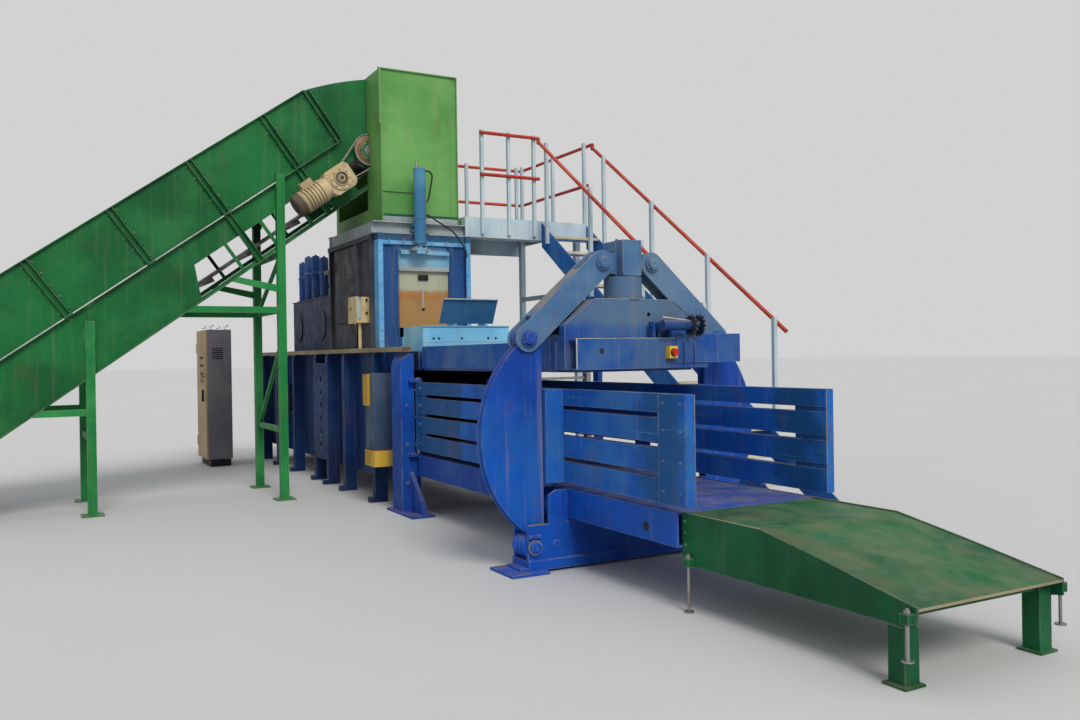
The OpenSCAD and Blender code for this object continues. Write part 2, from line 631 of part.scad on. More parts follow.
// Hopper shaft over the chamber, behind the gate frame
hop_x1 = feed_x1 + 40;
hop_x0 = feed_x0 - 30;
gate_half = gate_w / 2;
hop_z0 = press_top;
hop_rib = 40;
hop_z1 = beam_z;
gate_x0 = hop_x1;
gate_x1 = gate_x0 + 150;
gate_open = 640;
door_x0 = hop_x0 + 330;
door_x1 = hop_x1 - 620;
door_z0 = hop_z0 + 420;
door_z1 = hop_z1 - 120;
module hopper() color([0.40, 0.43, 0.50]) difference() {
  union() {
    both_sides() block([hop_x0, -gate_half, hop_z0], [hop_x1, -gate_half + sheet_t, hop_z1]);
    block([hop_x0, -gate_half, hop_z0], [hop_x0 + sheet_t, gate_half, hop_z1]);
    both_sides() for (x = [hop_x0, door_x1 + 20, hop_x1 - 50])
      block([x, -gate_half - hop_rib, hop_z0], [x + 50, -gate_half + 1, hop_z1]);
    both_sides() for (z = [hop_z0, hop_z1 - 50])
      block([hop_x0, -gate_half - hop_rib, z], [hop_x1, -gate_half + 1, z + 50]);
    for (z = [hop_z0, hop_z0 + 660, hop_z1 - 50])
      block([hop_x0 - 40, -gate_half - hop_rib, z], [hop_x0 + 1, gate_half + hop_rib, z + 50]);
    block([door_x0 - 40, -gate_half - hop_rib, door_z0 - 40], [door_x1 + 21, -gate_half + 1, door_z1 + 40]);
    for (z = door_hinges) hinge_fixed(door_hinge_x, door_hinge_y, z, -gate_half - hop_rib + 1);
  }
  block([door_x0 + 40, -gate_half - 41, door_z0 + 40], [door_x1 - 40, -gate_half + sheet_t + 1, door_z1 - 40]);
}
door_y = -gate_half - hop_rib - seat;
door_hinge_y = door_y - hinge_r;
door_hinge_x = door_x0 - hinge_r;
door_hinges = [door_z0 + 120, door_z1 - 210];
door_knob_x = door_x1 - 110;
module hopper_door() color([0.40, 0.43, 0.50]) difference() {
  union() {
    block([door_x0, door_y - 6, door_z0], [door_x1, door_y, door_z1]);
    for (z = door_hinges) {
      bar_z(door_hinge_x, door_hinge_y, z, z + hinge_h, hinge_r);
      block([door_hinge_x, door_y - 6, z], [door_x0 + 1, door_y, z + hinge_h]);
    }
    for (z = [door_z0 + 260, door_z0 + 480]) bar_y(door_knob_x, door_y - 50, door_y - 5, z, 14);
    bar_z(door_knob_x, door_y - 50, door_z0 + 240, door_z0 + 500, 14);
  }
  for (z = door_hinges) hinge_bore(door_hinge_x, door_hinge_y, z);
}
// Gate frame: two channel posts with guides, a sill and a head, and the tan lining sheet
sill_z = press_top + 175;
module gate_frame() color(light_blue) difference() {
  union() {
    both_sides() {
      gate_post();
      block([gate_x0 + 60, -gate_half + 55, sill_z - 1], [gate_x0 + 75, -gate_open / 2 - seat, hop_z1]);
    }
    block([gate_x0, -gate_half, hop_z1 - 120], [gate_x1 - 40, gate_half, hop_z1]);
    block([tamper_x + 10, -gate_half, hop_z0], [gate_x1 - 30, gate_half, sill_z]);
  }
  for (i = [-4 : 4]) bar_x(gate_x1 - 60, gate_x1 - 29, i * 110, hop_z0 + 60, 9, $fn = 16);
}
module gate_post() {
  block([gate_x0, -gate_half, hop_z0], [gate_x1, -gate_half + 60, hop_z1]);
  block([gate_x0, -gate_half, hop_z0], [gate_x0 + 30, -gate_open / 2 - seat, hop_z1]);
  block([gate_x0, -gate_open / 2 - 60, hop_z0], [gate_x1 - 60, -gate_open / 2 - seat, hop_z1 - 100]);
}
// Tamper gate: crossbar and blade that slide down between the posts
tamper_x = gate_x0 + 60;
tamper_z1 = 2850;
cyl_x0 = gate_x1 + tamper_r + 12;
cyl_y = -95;
module tamper_cylinder() color(light_blue) difference() {
  union() {
    bar_z(cyl_x0, cyl_y, tamper_z1 + 55, 3760, tamper_r);
    bar_z(cyl_x0, cyl_y, 3700, 3780, tamper_r - 12);
    bar_z(cyl_x0, cyl_y, tamper_z1 + 55, tamper_z1 + 95, tamper_r + 12);
    for (z = [beam_z + 20, beam_z + beam_h - 50])
      block([pbeam_x0 + pbeam_w / 2 + 6, cyl_y - 60, z], [cyl_x0, cyl_y + 60, z + 30]);
  }
  bar_z(cyl_x0, cyl_y, tamper_z1 + 90, 3700, tamper_r - 16);
  bar_z(cyl_x0, cyl_y, tamper_z1 + 54, tamper_z1 + 91, 30 + fit);
}
module tamper() {
  color(light_blue) {
    block([tamper_x - 20, -gate_open / 2, tamper_z1 - 190], [tamper_x + 30, gate_open / 2, tamper_z1 - 20]);
    block([tamper_x + 29, -gate_open / 2 + 20, tamper_z1 - 60],
          [tamper_x + 90, gate_open / 2 - 20, tamper_z1 - 20]);
    block([tamper_x + 29, cyl_y - 50, tamper_z1 - 60], [cyl_x0 + 40, cyl_y + 50, tamper_z1 + 6]);
  }
  color([0.62, 0.42, 0.22]) difference() {
    block([tamper_x - 20, -gate_open / 2, sill_z + 110], [tamper_x - 8, gate_open / 2, tamper_z1 - 189]);
    block([tamper_x - 21, -6, sill_z + 109], [tamper_x - 12, 6, tamper_z1 - 260]);
  }
  color(steel) {
    bar_z(cyl_x0, cyl_y, tamper_z1 + 5, 3640, 30);
    bar_z(cyl_x0, cyl_y, tamper_z1 + 92 + tamper_stroke, 3561, 40);
    bar_z(cyl_x0, cyl_y, 3560, 3640, tamper_r - 16 - fit);
  }
}
// Grey beam that carries the hood, the cylinder and the platform edge
pbeam_x0 = gate_x0 - 20;
pbeam_w = 140;
module platform_beam() color([0.72, 0.73, 0.74]) {
  translate([pbeam_x0 + pbeam_w / 2, 0, beam_z]) rotate([90, 0, 0]) translate([0, 0, -stair_y + 10])
    linear_extrude(stair_y - 10 + 620) i_section(pbeam_w, beam_h, 12);
  translate([hop_x0 + pbeam_w / 2, 0, beam_z]) rotate([90, 0, 0]) translate([0, 0, -stair_y + 10])
    linear_extrude(stair_y - 10 + 620) i_section(pbeam_w, beam_h, 12);
  for (y = [-560, 560]) block([hop_x0 + 80, y - 40, beam_z], [pbeam_x0 + 60, y + 40, beam_z + beam_h]);
}
// Green hood, open below and towards the conveyor
hood_x1 = pbeam_x0 + 30;
hood_x0 = hop_x0 - 60;
hood_z0 = beam_z + beam_h;
hood_z1 = hood_z0 + hood_h + 90;
hood_half = hood_w / 2;
hdoor_z0 = hood_z0 + 640;
hdoor_z1 = hood_z1 - 550;
hdoor_x0 = hood_x0 + 500;
hdoor_x1 = hood_x1 - 160;
conv_far = conv_front + conv_w;
module hood() color(hood_green) difference() {
  union() {
    block([hood_x1 - sheet_t, -hood_half, hood_z0], [hood_x1, hood_half, hood_z1]);
    block([hood_x0, -hood_half, hood_z0], [hood_x0 + sheet_t, hood_half, hood_z1]);
    block([hood_x0, hood_half - sheet_t, hood_z0], [hood_x1, hood_half, hood_z1]);
    block([hood_x0, -hood_half, hood_z0], [hood_x1, -hood_half + sheet_t, hood_z1]);
    block([hood_x0, -hood_half, hood_z1 - sheet_t], [hood_x1, hood_half, hood_z1]);
    block([hood_x1 - 20, -hood_half - 25, hood_z0], [hood_x1 + 30, hood_half + 25, hood_z0 + 12]);
    block([hood_x1 - 20, -hood_half, hood_z0 + 360], [hood_x1 + 18, hood_half - 560, hood_z0 + 372]);
    both_sides() block([hood_x1 - 1, -hood_half, hood_z0 + 12], [hood_x1 + 22, -hood_half + 10, hood_z1]);
    block([hood_x1 - 1, -hood_half, hood_z1 - 12], [hood_x1 + 22, hood_half, hood_z1]);
    both_sides() block([hood_x0, -hood_half - 25, hood_z0], [hood_x1, -hood_half + 1, hood_z0 + 12]);
    for (z = hdoor_hinges) hinge_fixed(hdoor_x1, hdoor_y, z, hood_half - 1);
  }
  block([-conv_far - 95, -hood_half - 1, drum_z - chain_wheel_r - 15],
        [-conv_front + 110, -hood_half + sheet_t + 1, drum_z + chain_wheel_r + 15]);
  block([-conv_far - 12, -hood_half - 26, hood_z0 + 200],
        [-conv_front + 12, -hood_half + sheet_t + 1, hood_z1 - 10]);
  block([hdoor_x0 + 30, hood_half - sheet_t - 1, hdoor_z0 + 30], [hdoor_x1 - 30, hood_half + 1, hdoor_z1 - 30]);
}
// Inspection door of the hood, hung on its front edge and standing open
hdoor_open = 20;
hdoor_y = hood_half + hinge_r + seat;
hdoor_hinges = [hdoor_z0 + 80, hdoor_z1 - 170];
module hood_door() color([0.70, 0.74, 0.62]) translate([hdoor_x1, hdoor_y, 0]) rotate([0, 0, -hdoor_open])
  difference() {
    union() {
      block([hdoor_x0 - hdoor_x1, -hinge_r, hdoor_z0], [-12, -hinge_r + 6, hdoor_z1]);
      for (z = hdoor_hinges) {
        block([-14, -hinge_r, z], [0, -hinge_r + 6, z + hinge_h]);
        bar_z(0, 0, z, z + hinge_h, hinge_r);
      }
      bar_y(hdoor_x0 - hdoor_x1 + 60, -hinge_r + 5, 40, (hdoor_z0 + hdoor_z1) / 2, 12);
    }
    for (z = hdoor_hinges) hinge_bore(0, 0, z);
  }

// Service box over the wall hinges, with an open lid
sbox_x1 = top_hinge_x - 70;
sbox_x0 = sbox_x1 - 560;
sbox_half = 500;
sbox_z0 = press_top + 90;
sbox_z1 = sbox_z0 + 175;
module service_box() color(light_blue) difference() {
  union() {
    block([sbox_x0, -sbox_half, press_top], [sbox_x1, sbox_half, sbox_z1]);
    block([sbox_x1 - 1, -sbox_half, sbox_z1 - 10], [sbox_x1 + 14, sbox_half, sbox_z1]);
    for (y = lid_knuckles) {
      bar_y(lid_x, lid_y + y + lid_knuckle_w + 1, lid_y + y + lid_knuckle_w + 31, lid_z, hinge_r);
      bar_y(lid_x, lid_y + y - 3, lid_y + y + lid_knuckle_w + 2, lid_z, hinge_pin_r);
    }
  }
  block([sbox_x0 + 10, -sbox_half + 10, press_top + 12], [sbox_x1 - 10, sbox_half - 10, sbox_z1 - 10]);
  block([sbox_x1 - 10 - lid_l + 40, lid_y - lid_w / 2 + 20, sbox_z1 - 11],
        [sbox_x1 - 10, lid_y + lid_w / 2 - 20, sbox_z1 + 1]);
  for (y = [-380, -320, -60, 250, 340]) bar_x(sbox_x1 - 11, sbox_x1 + 1, y, sbox_z0 + 40, 14, $fn = 24);
}
lid_w = 620;
lid_l = 300;
lid_tilt = 28;
lid_x = sbox_x1 + 2;
lid_y = -10;
lid_z = sbox_z1 + hinge_r;
lid_knuckles = [-220, 140];
lid_knuckle_w = 80;
module service_lid() color(blue) translate([lid_x, lid_y, lid_z]) rotate([0, lid_tilt, 0]) difference() {
  union() {
    block([-3, -lid_w / 2, 14], [3, lid_w / 2, lid_l]);
    block([-3, -lid_w / 2, lid_l - 6], [16, lid_w / 2, lid_l]);
    for (y = lid_knuckles) {
      block([-3, y, 0], [3, y + lid_knuckle_w, 15]);
      bar_y(0, y, y + lid_knuckle_w, 0, hinge_r - seat);
    }
  }
  for (y = lid_knuckles) bar_y(0, y - 1, y + lid_knuckle_w + 1, 0, hinge_pin_r + fit);
}
// Cable tray along the top of the press frame
module cable_tray() color([0.66, 0.62, 0.50]) difference() {
  block([press_x0 + 200, -side_out - rib_out, press_top], [post_x1, -side_out - rib_out + 110, press_top + 50]);
  block([press_x0 + 198, -side_out - rib_out + 4, press_top + 4],
        [post_x1 + 1, -side_out - rib_out + 106, press_top + 51]);
}
// Twister case on the near side of the tying plane, and the twister heads
tw_x0 = needle_x - 190;
tw_x1 = needle_x + 70;
tw_y0 = -side_out - 250;
module twister_case() color(grey) difference() {
  block([tw_x0, tw_y0, needle_z(0) - 110], [tw_x1, -side_out, needle_z(4) + 110]);
  block([tw_x0 + 12, tw_y0 + 12, needle_z(0) - 98], [tw_x1 - 12, -side_out + 1, needle_z(4) + 98]);
  bar_y(needle_x + 0, tw_y0 - 1, tw_y0 + 13, needle_z(0) - 60, 16 + fit);
}
module twisters() color(steel) {
  bar_z(needle_x - 90, -side_out - 150, needle_z(0) - 98 + seat, needle_z(4) + 98 - seat, 16);
  for (i = [0 : needle_n - 1]) {
    bar_z(needle_x - 90, -side_out - 150, needle_z(i) - 70, needle_z(i) - 50, 40);
    bar_z(needle_x - 90, -side_out - 150, needle_z(i) - 70, needle_z(i) + 40, 24);
  }
}
// Needle rails and carriage on the far side
rail_y1 = side_out + needle_reach;
rail_slot = 24;
module needle_rails() color(blue) {
  for (z = [needle_z(0) - 180, needle_z(4) + 130]) {
    difference() {
      block([needle_x - 60, side_out, z], [needle_x + 60, rail_y1, z + 50]);
      block([needle_x - rail_slot, side_out + 8, z - 1], [needle_x + rail_slot, rail_y1 - 60, z + 51]);
    }
  }
  block([needle_x - 60, rail_y1 - 60, 20], [needle_x + 60, rail_y1, needle_z(4) + 130]);
  block([needle_x - 120, rail_y1 - 160, 0], [needle_x + 120, rail_y1 + 60, 20]);
}
carr_y = rail_y1 - 160;
needle_len = needle_reach - 170;
module needle_carriage() color(steel) {
  difference() {
    union() {
      block([needle_x - 50, carr_y - 60, needle_z(0) - 125], [needle_x + 50, carr_y, needle_z(4) + 125]);
      for (z = [needle_z(0) - 180, needle_z(4) + 124])
        block([needle_x - rail_slot + seat, carr_y - 60, z], [needle_x + rail_slot - seat, carr_y, z + 56]);
    }
    for (i = [0 : needle_n - 1])
      block([needle_x - 30, carr_y - 61, needle_z(i) + 40], [needle_x + 30, carr_y + 1, needle_z(i) + 100]);
  }
  for (i = [0 : needle_n - 1]) {
    along_y(carr_y - needle_len, carr_y - 59) translate([needle_x - 8, needle_z(i) - 16]) square([16, 32]);
  }
}
// Yellow guards at the tying plane
module wire_guards() color(yellow) {
  block([tw_x0, tw_y0 - 30, 1080], [tw_x0 + 150, tw_y0, 1420]);
  difference() {
    block([tw_x0 + 20, tw_y0 - 20, 430], [tw_x1 + 80, -side_out, 600]);
    block([tw_x0 + 30, tw_y0 - 10, 429], [tw_x1 + 70, -side_out + 1, 590]);
  }
}

// Hydraulic unit on top of the rear of the press frame
tank_x1 = hop_x0 - 240;
tank_x0 = tank_x1 - tank_l;
tank_z0 = press_top + 60;
tank_z1 = tank_z0 + tank_h;
module oil_tank() color(blue) {
  difference() {
    block([tank_x0, -tank_half, tank_z0], [tank_x1, tank_half, tank_z1]);
    block([tank_x0 + 6, -tank_half + 6, tank_z0 + 6], [tank_x1 - 6, tank_half - 6, tank_z1 - 6]);
    for (x = [tank_x0 + 300, tank_x0 + 1500]) bar_y(x, -tank_half - 1, -tank_half + 7, tank_z0 + 350, 190);
  }
  for (x = [tank_x0 + 300, tank_x0 + 1500]) bar_y(x, -tank_half - 14, -tank_half, tank_z0 + 350, 220);
  block([tank_x0 - 15, -tank_half - 15, tank_z1], [tank_x1 + 15, tank_half + 15, tank_z1 + 12]);
  for (x = [tank_x0 + 60, tank_x1 - 160], y = [-tank_half, tank_half - 80])
    block([x, y, press_top], [x + 100, y + 80, tank_z0]);
  bar_z(tank_x0 + 160, 280, tank_z1 + 12, tank_z1 + 110, 60);
}
// Electric motor and pump, lying along the tank
motor_z = tank_z1 + 12 + 240;
module pump_motor() color([0.30, 0.45, 0.70]) {
  bar_x(tank_x0 + 500, tank_x0 + 1150, 150, motor_z, 200);
  for (a = [-130 : 20 : 130]) translate([tank_x0 + 540, 150, motor_z]) rotate([a + 90, 0, 0])
    block([0, 190, -6], [520, 222, 6]);
  bar_x(tank_x0 + 460, tank_x0 + 500, 150, motor_z, 215);
  bar_x(tank_x0 + 1150, tank_x0 + 1290, 150, motor_z, 150);
  bar_x(tank_x0 + 1290, tank_x0 + 1520, 150, motor_z, 105);
  block([tank_x0 + 560, 0, tank_z1 + 12], [tank_x0 + 660, 300, motor_z - 150]);
  block([tank_x0 + 960, 0, tank_z1 + 12], [tank_x0 + 1060, 300, motor_z - 150]);
  block([tank_x0 + 700, 60, motor_z + 190], [tank_x0 + 940, 240, motor_z + 290]);
}
// Valve block with solenoids, beside the motor
vb_z = tank_z1 + 12;
module valve_block() color(grey) {
  block([tank_x0 + 1500, -360, vb_z], [tank_x0 + 2000, -160, vb_z + 260]);
  for (i = [0 : 3]) {
    bar_y(tank_x0 + 1560 + i * 125, -440, -80, vb_z + 330, 32);
    block([tank_x0 + 1520 + i * 125, -320, vb_z + 259], [tank_x0 + 1600 + i * 125, -200, vb_z + 370]);
  }
  bar_z(tank_x0 + 1400, -250, vb_z, vb_z + 420, 70);
  bar_z(tank_x0 + 1400, -250, vb_z + 420, vb_z + 470, 50);
}
// Rigid oil pipes from the unit to the main cylinder
pipe_r = 24;
pipe_z = press_top + 200;
module hydraulic_pipes() color(steel) {
  bar_z(press_x0 + 330, 0, main_z + main_r + 70, pipe_z, pipe_r);
  bar_x(press_x0 + 330, tank_x0, 0, pipe_z, pipe_r);
  translate([press_x0 + 330, 0, pipe_z]) sphere(r = pipe_r);
}

// Feed conveyor. Its own plane runs along the slope: s climbs with it from the tail pulley,
// n stands square to it, and n = 0 is the fold line above the pulleys
deck_n = 277;
rise = tan(slope);
run_len = (tail_y - drum_y) / cos(slope);
conv_x1 = -conv_front;
conv_x0 = -conv_far;
conv_wall = 8;
low_n = -640;
skirt_n = -270;
tail_out = 420;
seam_s = run_len - 267;
skirt_len = run_len - 2620;
drum_r = pulley_r + 45;
tail_z = drum_z - run_len * sin(slope);
// Places a drawing of s and n on the slope, s counted from the tail pulley upward
module on_slope(x0, x1) translate([0, -tail_y, tail_z]) rotate([slope, 0, 0])
  translate([0, 0, deck_n]) along_x(x0, x1) children();
// The arched head of the side boards, up to the hood
hump_r = 3720;
module hump_disc(inset) translate([seam_s - 815, board_h - 3630 + 0.2]) circle(r = hump_r - inset, $fn = 240);
module hump_reach() intersection() {
  translate([seam_s, skirt_n]) square([1200, board_h - skirt_n + 60]);
  translate([run_len, -deck_n]) rotate(-slope) translate([-1600, 0])
    square([1600 + drum_y - hood_half - seat, 1200]);
}
module side_board() union() {
  translate([-tail_out, 0]) square([seam_s + tail_out + 1, board_h]);
  intersection() {
    hump_disc(0);
    translate([-1, 0]) hump_reach();
  }
  translate([-tail_out, skirt_n]) square([run_len + tail_out - 40, -skirt_n + 1]);
  translate([-tail_out, low_n]) square([skirt_len + tail_out, -low_n]);
  polygon([[skirt_len - 1, 0], [skirt_len + 300, 0], [skirt_len - 1, low_n]]);
  translate([skirt_len - 2, low_n]) square([run_len - skirt_len - 60, 45]);
  for (s = [skirt_len + 560 : 480 : run_len - 100]) translate([s, low_n]) square([40, skirt_n - low_n + 1]);
  translate([gm_s - 190, low_n]) square([380, skirt_n - low_n + 1]);
}
first_rib = 267;
second_rib = 609;
function rib_s(i) = run_len - first_rib - (i == 0 ? 0 : second_rib + (i - 1) * rib_pitch);
rib_last = floor((run_len - first_rib - second_rib + tail_out - 80) / rib_pitch) + 1;
module conveyor_frame() color(green) {
  difference() {
    union() {
      on_slope(conv_x1 - conv_wall, conv_x1) side_board();
      on_slope(conv_x0, conv_x0 + conv_wall) side_board();
      for (x = [conv_x1 - 1, conv_x0 - 59]) on_slope(x, x + 60) {
        translate([-tail_out, -12]) square([seam_s + tail_out, 12]);
        translate([-tail_out, low_n]) square([run_len + tail_out - 120, 10]);
      }
      for (x = [conv_x1 - 1, conv_x0 - 49], i = [0 : rib_last]) on_slope(x, x + 50) {
        translate([rib_s(i), -1]) square([8, board_h + 1]);
        translate([rib_s(i) + 62, -1]) square([8, i == 0 ? board_h - 30 : board_h + 1]);
      }
      for (x = [conv_x1 - 1, conv_x0 - 39])
        on_slope(x, x + 40) translate([-tail_out, board_h - 8]) square([seam_s + tail_out + 8, 8]);
      on_slope(conv_x0 + 4, conv_x1 - 4) difference() {
        intersection() {
          hump_disc(0);
          hump_reach();
        }
        hump_disc(8);
      }
      on_slope(conv_x0 + 4, conv_x1 - 4) translate([seam_s, board_h - 60]) square([8, 60]);
      for (s = [400 : 1100 : skirt_len])
        on_slope(conv_x0 + 4, conv_x1 - 4) translate([s, -470]) square([60, 60]);
      on_slope(conv_x0 + 4, conv_x1 - 4) translate([-tail_out, low_n + 1]) square([8, -low_n + board_h - 2]);
    }
    for (s = [0, run_len]) on_slope(conv_x0 - 100, conv_x1 + 100) translate([s, -deck_n]) circle(r = 38);
    for (x = leg_x, y = [tower_y, low_leg_y])
      block([x - leg_w / 2 - 1, y - leg_w / 2 - 1, 0], [x + leg_w / 2 + 1, y + leg_w / 2 + 1, deck_z(y) + 62]);
    block([conv_x0 - 100, -hood_half - seat, drum_z - 600], [conv_x1 + 100, 0, hood_z1]);
  }
}
// Belt loop with cleats, around both pulleys
belt_half = conv_w / 2 - conv_wall - 14;
belt_mid = -(conv_front + conv_w / 2);
cleat_n = 9;
module conveyor_belt() color(dark) on_slope(belt_mid - belt_half, belt_mid + belt_half) {
  difference() {
    belt_outline(drum_r + belt_t);
    belt_outline(drum_r);
  }
  for (i = [0 : cleat_n - 1]) translate([200 + i * (run_len - 400) / cleat_n, -deck_n + drum_r + belt_t - 1])
    square([12, cleat_h]);
  for (i = [0 : cleat_n - 1])
    translate([400 + i * (run_len - 400) / cleat_n, -deck_n - drum_r - belt_t - cleat_h + 1])
      square([12, cleat_h]);
}
module belt_outline(r) {
  translate([0, -deck_n]) circle(r = r);
  translate([run_len, -deck_n]) circle(r = r);
  translate([0, -deck_n - r]) square([run_len, 2 * r]);
}
module drum(s) {
  on_slope(belt_mid - belt_half + 8, belt_mid + belt_half - 8) translate([s, -deck_n]) circle(r = drum_r - 0.4);
  on_slope(conv_x0 - 90, conv_x1 + 90) translate([s, -deck_n]) circle(r = 30);
}
module head_pulley() color(steel) {
  drum(run_len);
  on_slope(conv_x1 + 66, conv_x1 + 82) translate([run_len, -deck_n]) sprocket(chain_wheel_r, 36);
  on_slope(conv_x1 + 60, conv_x1 + 88) translate([run_len, -deck_n]) circle(r = 62);
}
module tail_pulley() color(steel) drum(0);
module sprocket(r, n) {
  circle(r = r - 10);
  for (i = [0 : n - 1]) rotate(i * 360 / n) translate([r - 14, -5]) square([14, 10]);
}
// Gearmotor beside the head, its output shaft, and the bearings of both pulleys
gm_s = run_len - (drum_z - drive_z) * sin(slope) - (drive_y - drum_y) * cos(slope);
gm_n = (drive_y - drum_y) * sin(slope) - (drum_z - drive_z) * cos(slope) - deck_n;
gm_x = conv_x1 + 92;
module gearmotor() color(steel) {
  difference() {
    union() {
      for (s = [0, run_len], x = [conv_x1, conv_x0 - 56]) on_slope(x, x + 56) {
        translate([s, -deck_n]) circle(r = 75);
        translate([s - 110, -deck_n - 75]) square([220, 40]);
      }
    }
    for (s = [0, run_len]) on_slope(conv_x0 - 100, conv_x1 + 100) translate([s, -deck_n]) circle(r = 30 + fit);
  }
  on_slope(gm_x, gm_x + 170) difference() {
    translate([gm_s - 170, gm_n - 150]) square([340, 300]);
    for (a = [-1, 1], b = [-1, 1])
      translate([gm_s + a * 170, gm_n + b * 150]) rotate(45) square([70, 70], center = true);
  }
  on_slope(gm_x + 169, gm_x + 190) translate([gm_s, gm_n]) difference() {
    circle(r = 130);
    circle(r = 62);
  }
  on_slope(gm_x + 169, gm_x + 210) translate([gm_s, gm_n]) difference() {
    circle(r = 82);
    circle(r = 40);
  }
  on_slope(conv_x1, gm_x + 1) translate([gm_s - 150, gm_n - 100]) square([300, 80]);
  translate([0, -tail_y, tail_z]) rotate([slope, 0, 0]) translate([0, gm_s, deck_n + gm_n]) {
    translate([gm_x + 85, -169, 0]) rotate([90, 0, 0]) cylinder(h = 60, r = 125);
    difference() {
      translate([gm_x + 85, -228, 0]) rotate([90, 0, 0]) cylinder(h = 290, r = 135);
      for (i = [0 : 5]) translate([gm_x + 85, -268 - i * 40, 0]) rotate([90, 0, 0]) difference() {
        cylinder(h = 16, r = 140);
        translate([0, 0, -1]) cylinder(h = 18, r = 118);
      }
    }
    translate([gm_x + 85, -517, 0]) rotate([90, 0, 0]) cylinder(h = 70, r = 128);
    translate([gm_x + 45, -440, 110]) cube([90, 150, 80]);
  }
}
// Tower and lower legs of the conveyor
leg_w = 90;
tower_y = -1536;
low_leg_y = -3520;
foot_y = -tail_y + 30;
leg_x = [conv_x1 + 50, conv_x0 - 50];
function deck_z(y) = drum_z + deck_n / cos(slope) + (y + drum_y) * rise;
module conveyor_legs() color(green) {
  for (x = leg_x) {
    post_tube(x, tower_y, 12, deck_z(tower_y) + 60, leg_w, 6);
    block([x - 110, tower_y - 110, 0], [x + 110, tower_y + 110, 12]);
    post_tube(x, low_leg_y, 12, deck_z(low_leg_y) - 200, leg_w, 6);
    block([x - 110, low_leg_y - 110, 0], [x + 110, low_leg_y + 110, 12]);
    level_brace(x, tower_y, tower_brace_z);
    level_brace(x, low_leg_y, low_brace_z);
    along_x(x - 20, x + 20) polygon([[tower_y - 20, 2360], [tower_y - 20, 2440],
      [tower_y - 470, low_line(tower_y - 470) - 0.2], [tower_y - 540, low_line(tower_y - 540) - 0.2]]);
  }
  for (x = leg_x) along_x(x - 50, x + 9) polygon([[foot_y - 60, 0], [foot_y + 60, 0],
    [foot_y + 60, low_line(foot_y + 60) - 0.2], [foot_y - 60, low_line(foot_y - 60) - 0.2]]);
  for (y = [tower_y, low_leg_y], z = y == tower_y ? [760, 2130, low_line(tower_y) - 90] : [760])
    block([leg_x[1] + leg_w / 2 - 1, y - 25, z], [leg_x[0] - leg_w / 2 + 1, y + 25, z + 60]);
  for (z = [[820, 1750], [2190, low_line(tower_y) - 110]]) along_y(tower_y - 20, tower_y + 20)
    polygon([[leg_x[1] + 40, z[0]], [leg_x[1] + 110, z[0]], [leg_x[0] - 40, z[1]], [leg_x[0] - 110, z[1]]]);
  for (y = [tower_y, low_leg_y], x = [conv_x1 + 0.2, conv_x0 - 6])
    block([x, y - 60, deck_z(y) - 420], [x + 5.8, y + 60, deck_z(y) - 260]);
}
function low_line(y) = deck_z(y) + low_n / cos(slope);
function low_y(z) = (z + 0.4 - low_line(0)) / rise;
brace_h = 70;
tower_brace_z = 2125;
low_brace_z = 1040;
module level_brace(x, y, z) along_x(x - 30, x + 30)
  polygon([[y - leg_w / 2 + 1, z], [y - leg_w / 2 + 1, z + brace_h], [low_y(z + brace_h), z + brace_h],
    [low_y(z), z]]);

// Platform, stairs and rails on the +Y side
plat_x1 = pbeam_x0 + pbeam_w + 12;
plat_x0 = hop_x0 - 30;
plat_y0 = hood_half + 40;
stair_y1 = stair_y + stair_w + 24;
plat_y1 = stair_y1;
edge_h = 240;
stair_x0 = plat_x1;
stair_run = platform_z * 1000 / stair_fall;
module platform() color(grey) {
  difference() {
    block([plat_x0, plat_y0, platform_z - 30], [plat_x1, plat_y1, platform_z]);
    for (x = [plat_x0 + 60 : 120 : plat_x1 - 100])
      block([x, plat_y0 + 60, platform_z - 20], [x + 90, plat_y1 - 60, platform_z + 1]);
  }
  for (x = [plat_x0, plat_x1 - 12])
    block([x, plat_y0, platform_z - edge_h], [x + 12, plat_y1, platform_z + 1]);
  for (y = [plat_y0, plat_y1 - 12]) block([plat_x0, y, platform_z - 105], [plat_x1, y + 12, platform_z]);
  for (x = [plat_x0 + 130, plat_x1 - 200]) {
    block([x, plat_y1 - 95, 12], [x + 70, plat_y1 - 25, platform_z - 29]);
    block([x - 60, plat_y1 - 155, 0], [x + 130, plat_y1 + 35, 12]);
  }
  block([plat_x0 + 150, plat_y1 - 80, platform_z - 900], [plat_x1 - 150, plat_y1 - 40, platform_z - 840]);
  for (x = [pbeam_x0 + 10, hop_x0 + 10])
    block([x, plat_y0 + 100, beam_z + beam_h], [x + 60, stair_y, platform_z - 29]);
}
stringer_h = 260;
function nose_z(x) = platform_z - (x - stair_x0) * stair_fall / 1000;
module stringer(y) along_y(y, y + 12)
  polygon([[stair_x0, platform_z - 20], [stair_x0, platform_z - stringer_h - 60],
  [stair_x0 + stair_run - (stringer_h + 60) * 1000 / stair_fall, 0], [stair_x0 + stair_run - 30, 0]]);
module stairs() color(blue) {
  stringer(stair_y);
  stringer(stair_y1 - 12);
  for (i = [1 : tread_n]) {
    z = platform_z * (1 - i / (tread_n + 1));
    x = stair_x0 + (platform_z - z) * 1000 / stair_fall;
    block([x - 235, stair_y + 11, z - 30], [x - 15, stair_y1 - 11, z]);
  }
}
post_w = 40;
post_n = 4;
near_post_x = stair_x0 + 160;
far_post_x = near_post_x + 200;
module stair_post(x, y) block([x, y, nose_z(x + post_w) - 160], [x + post_w, y + post_w, nose_z(x) + rail_h]);
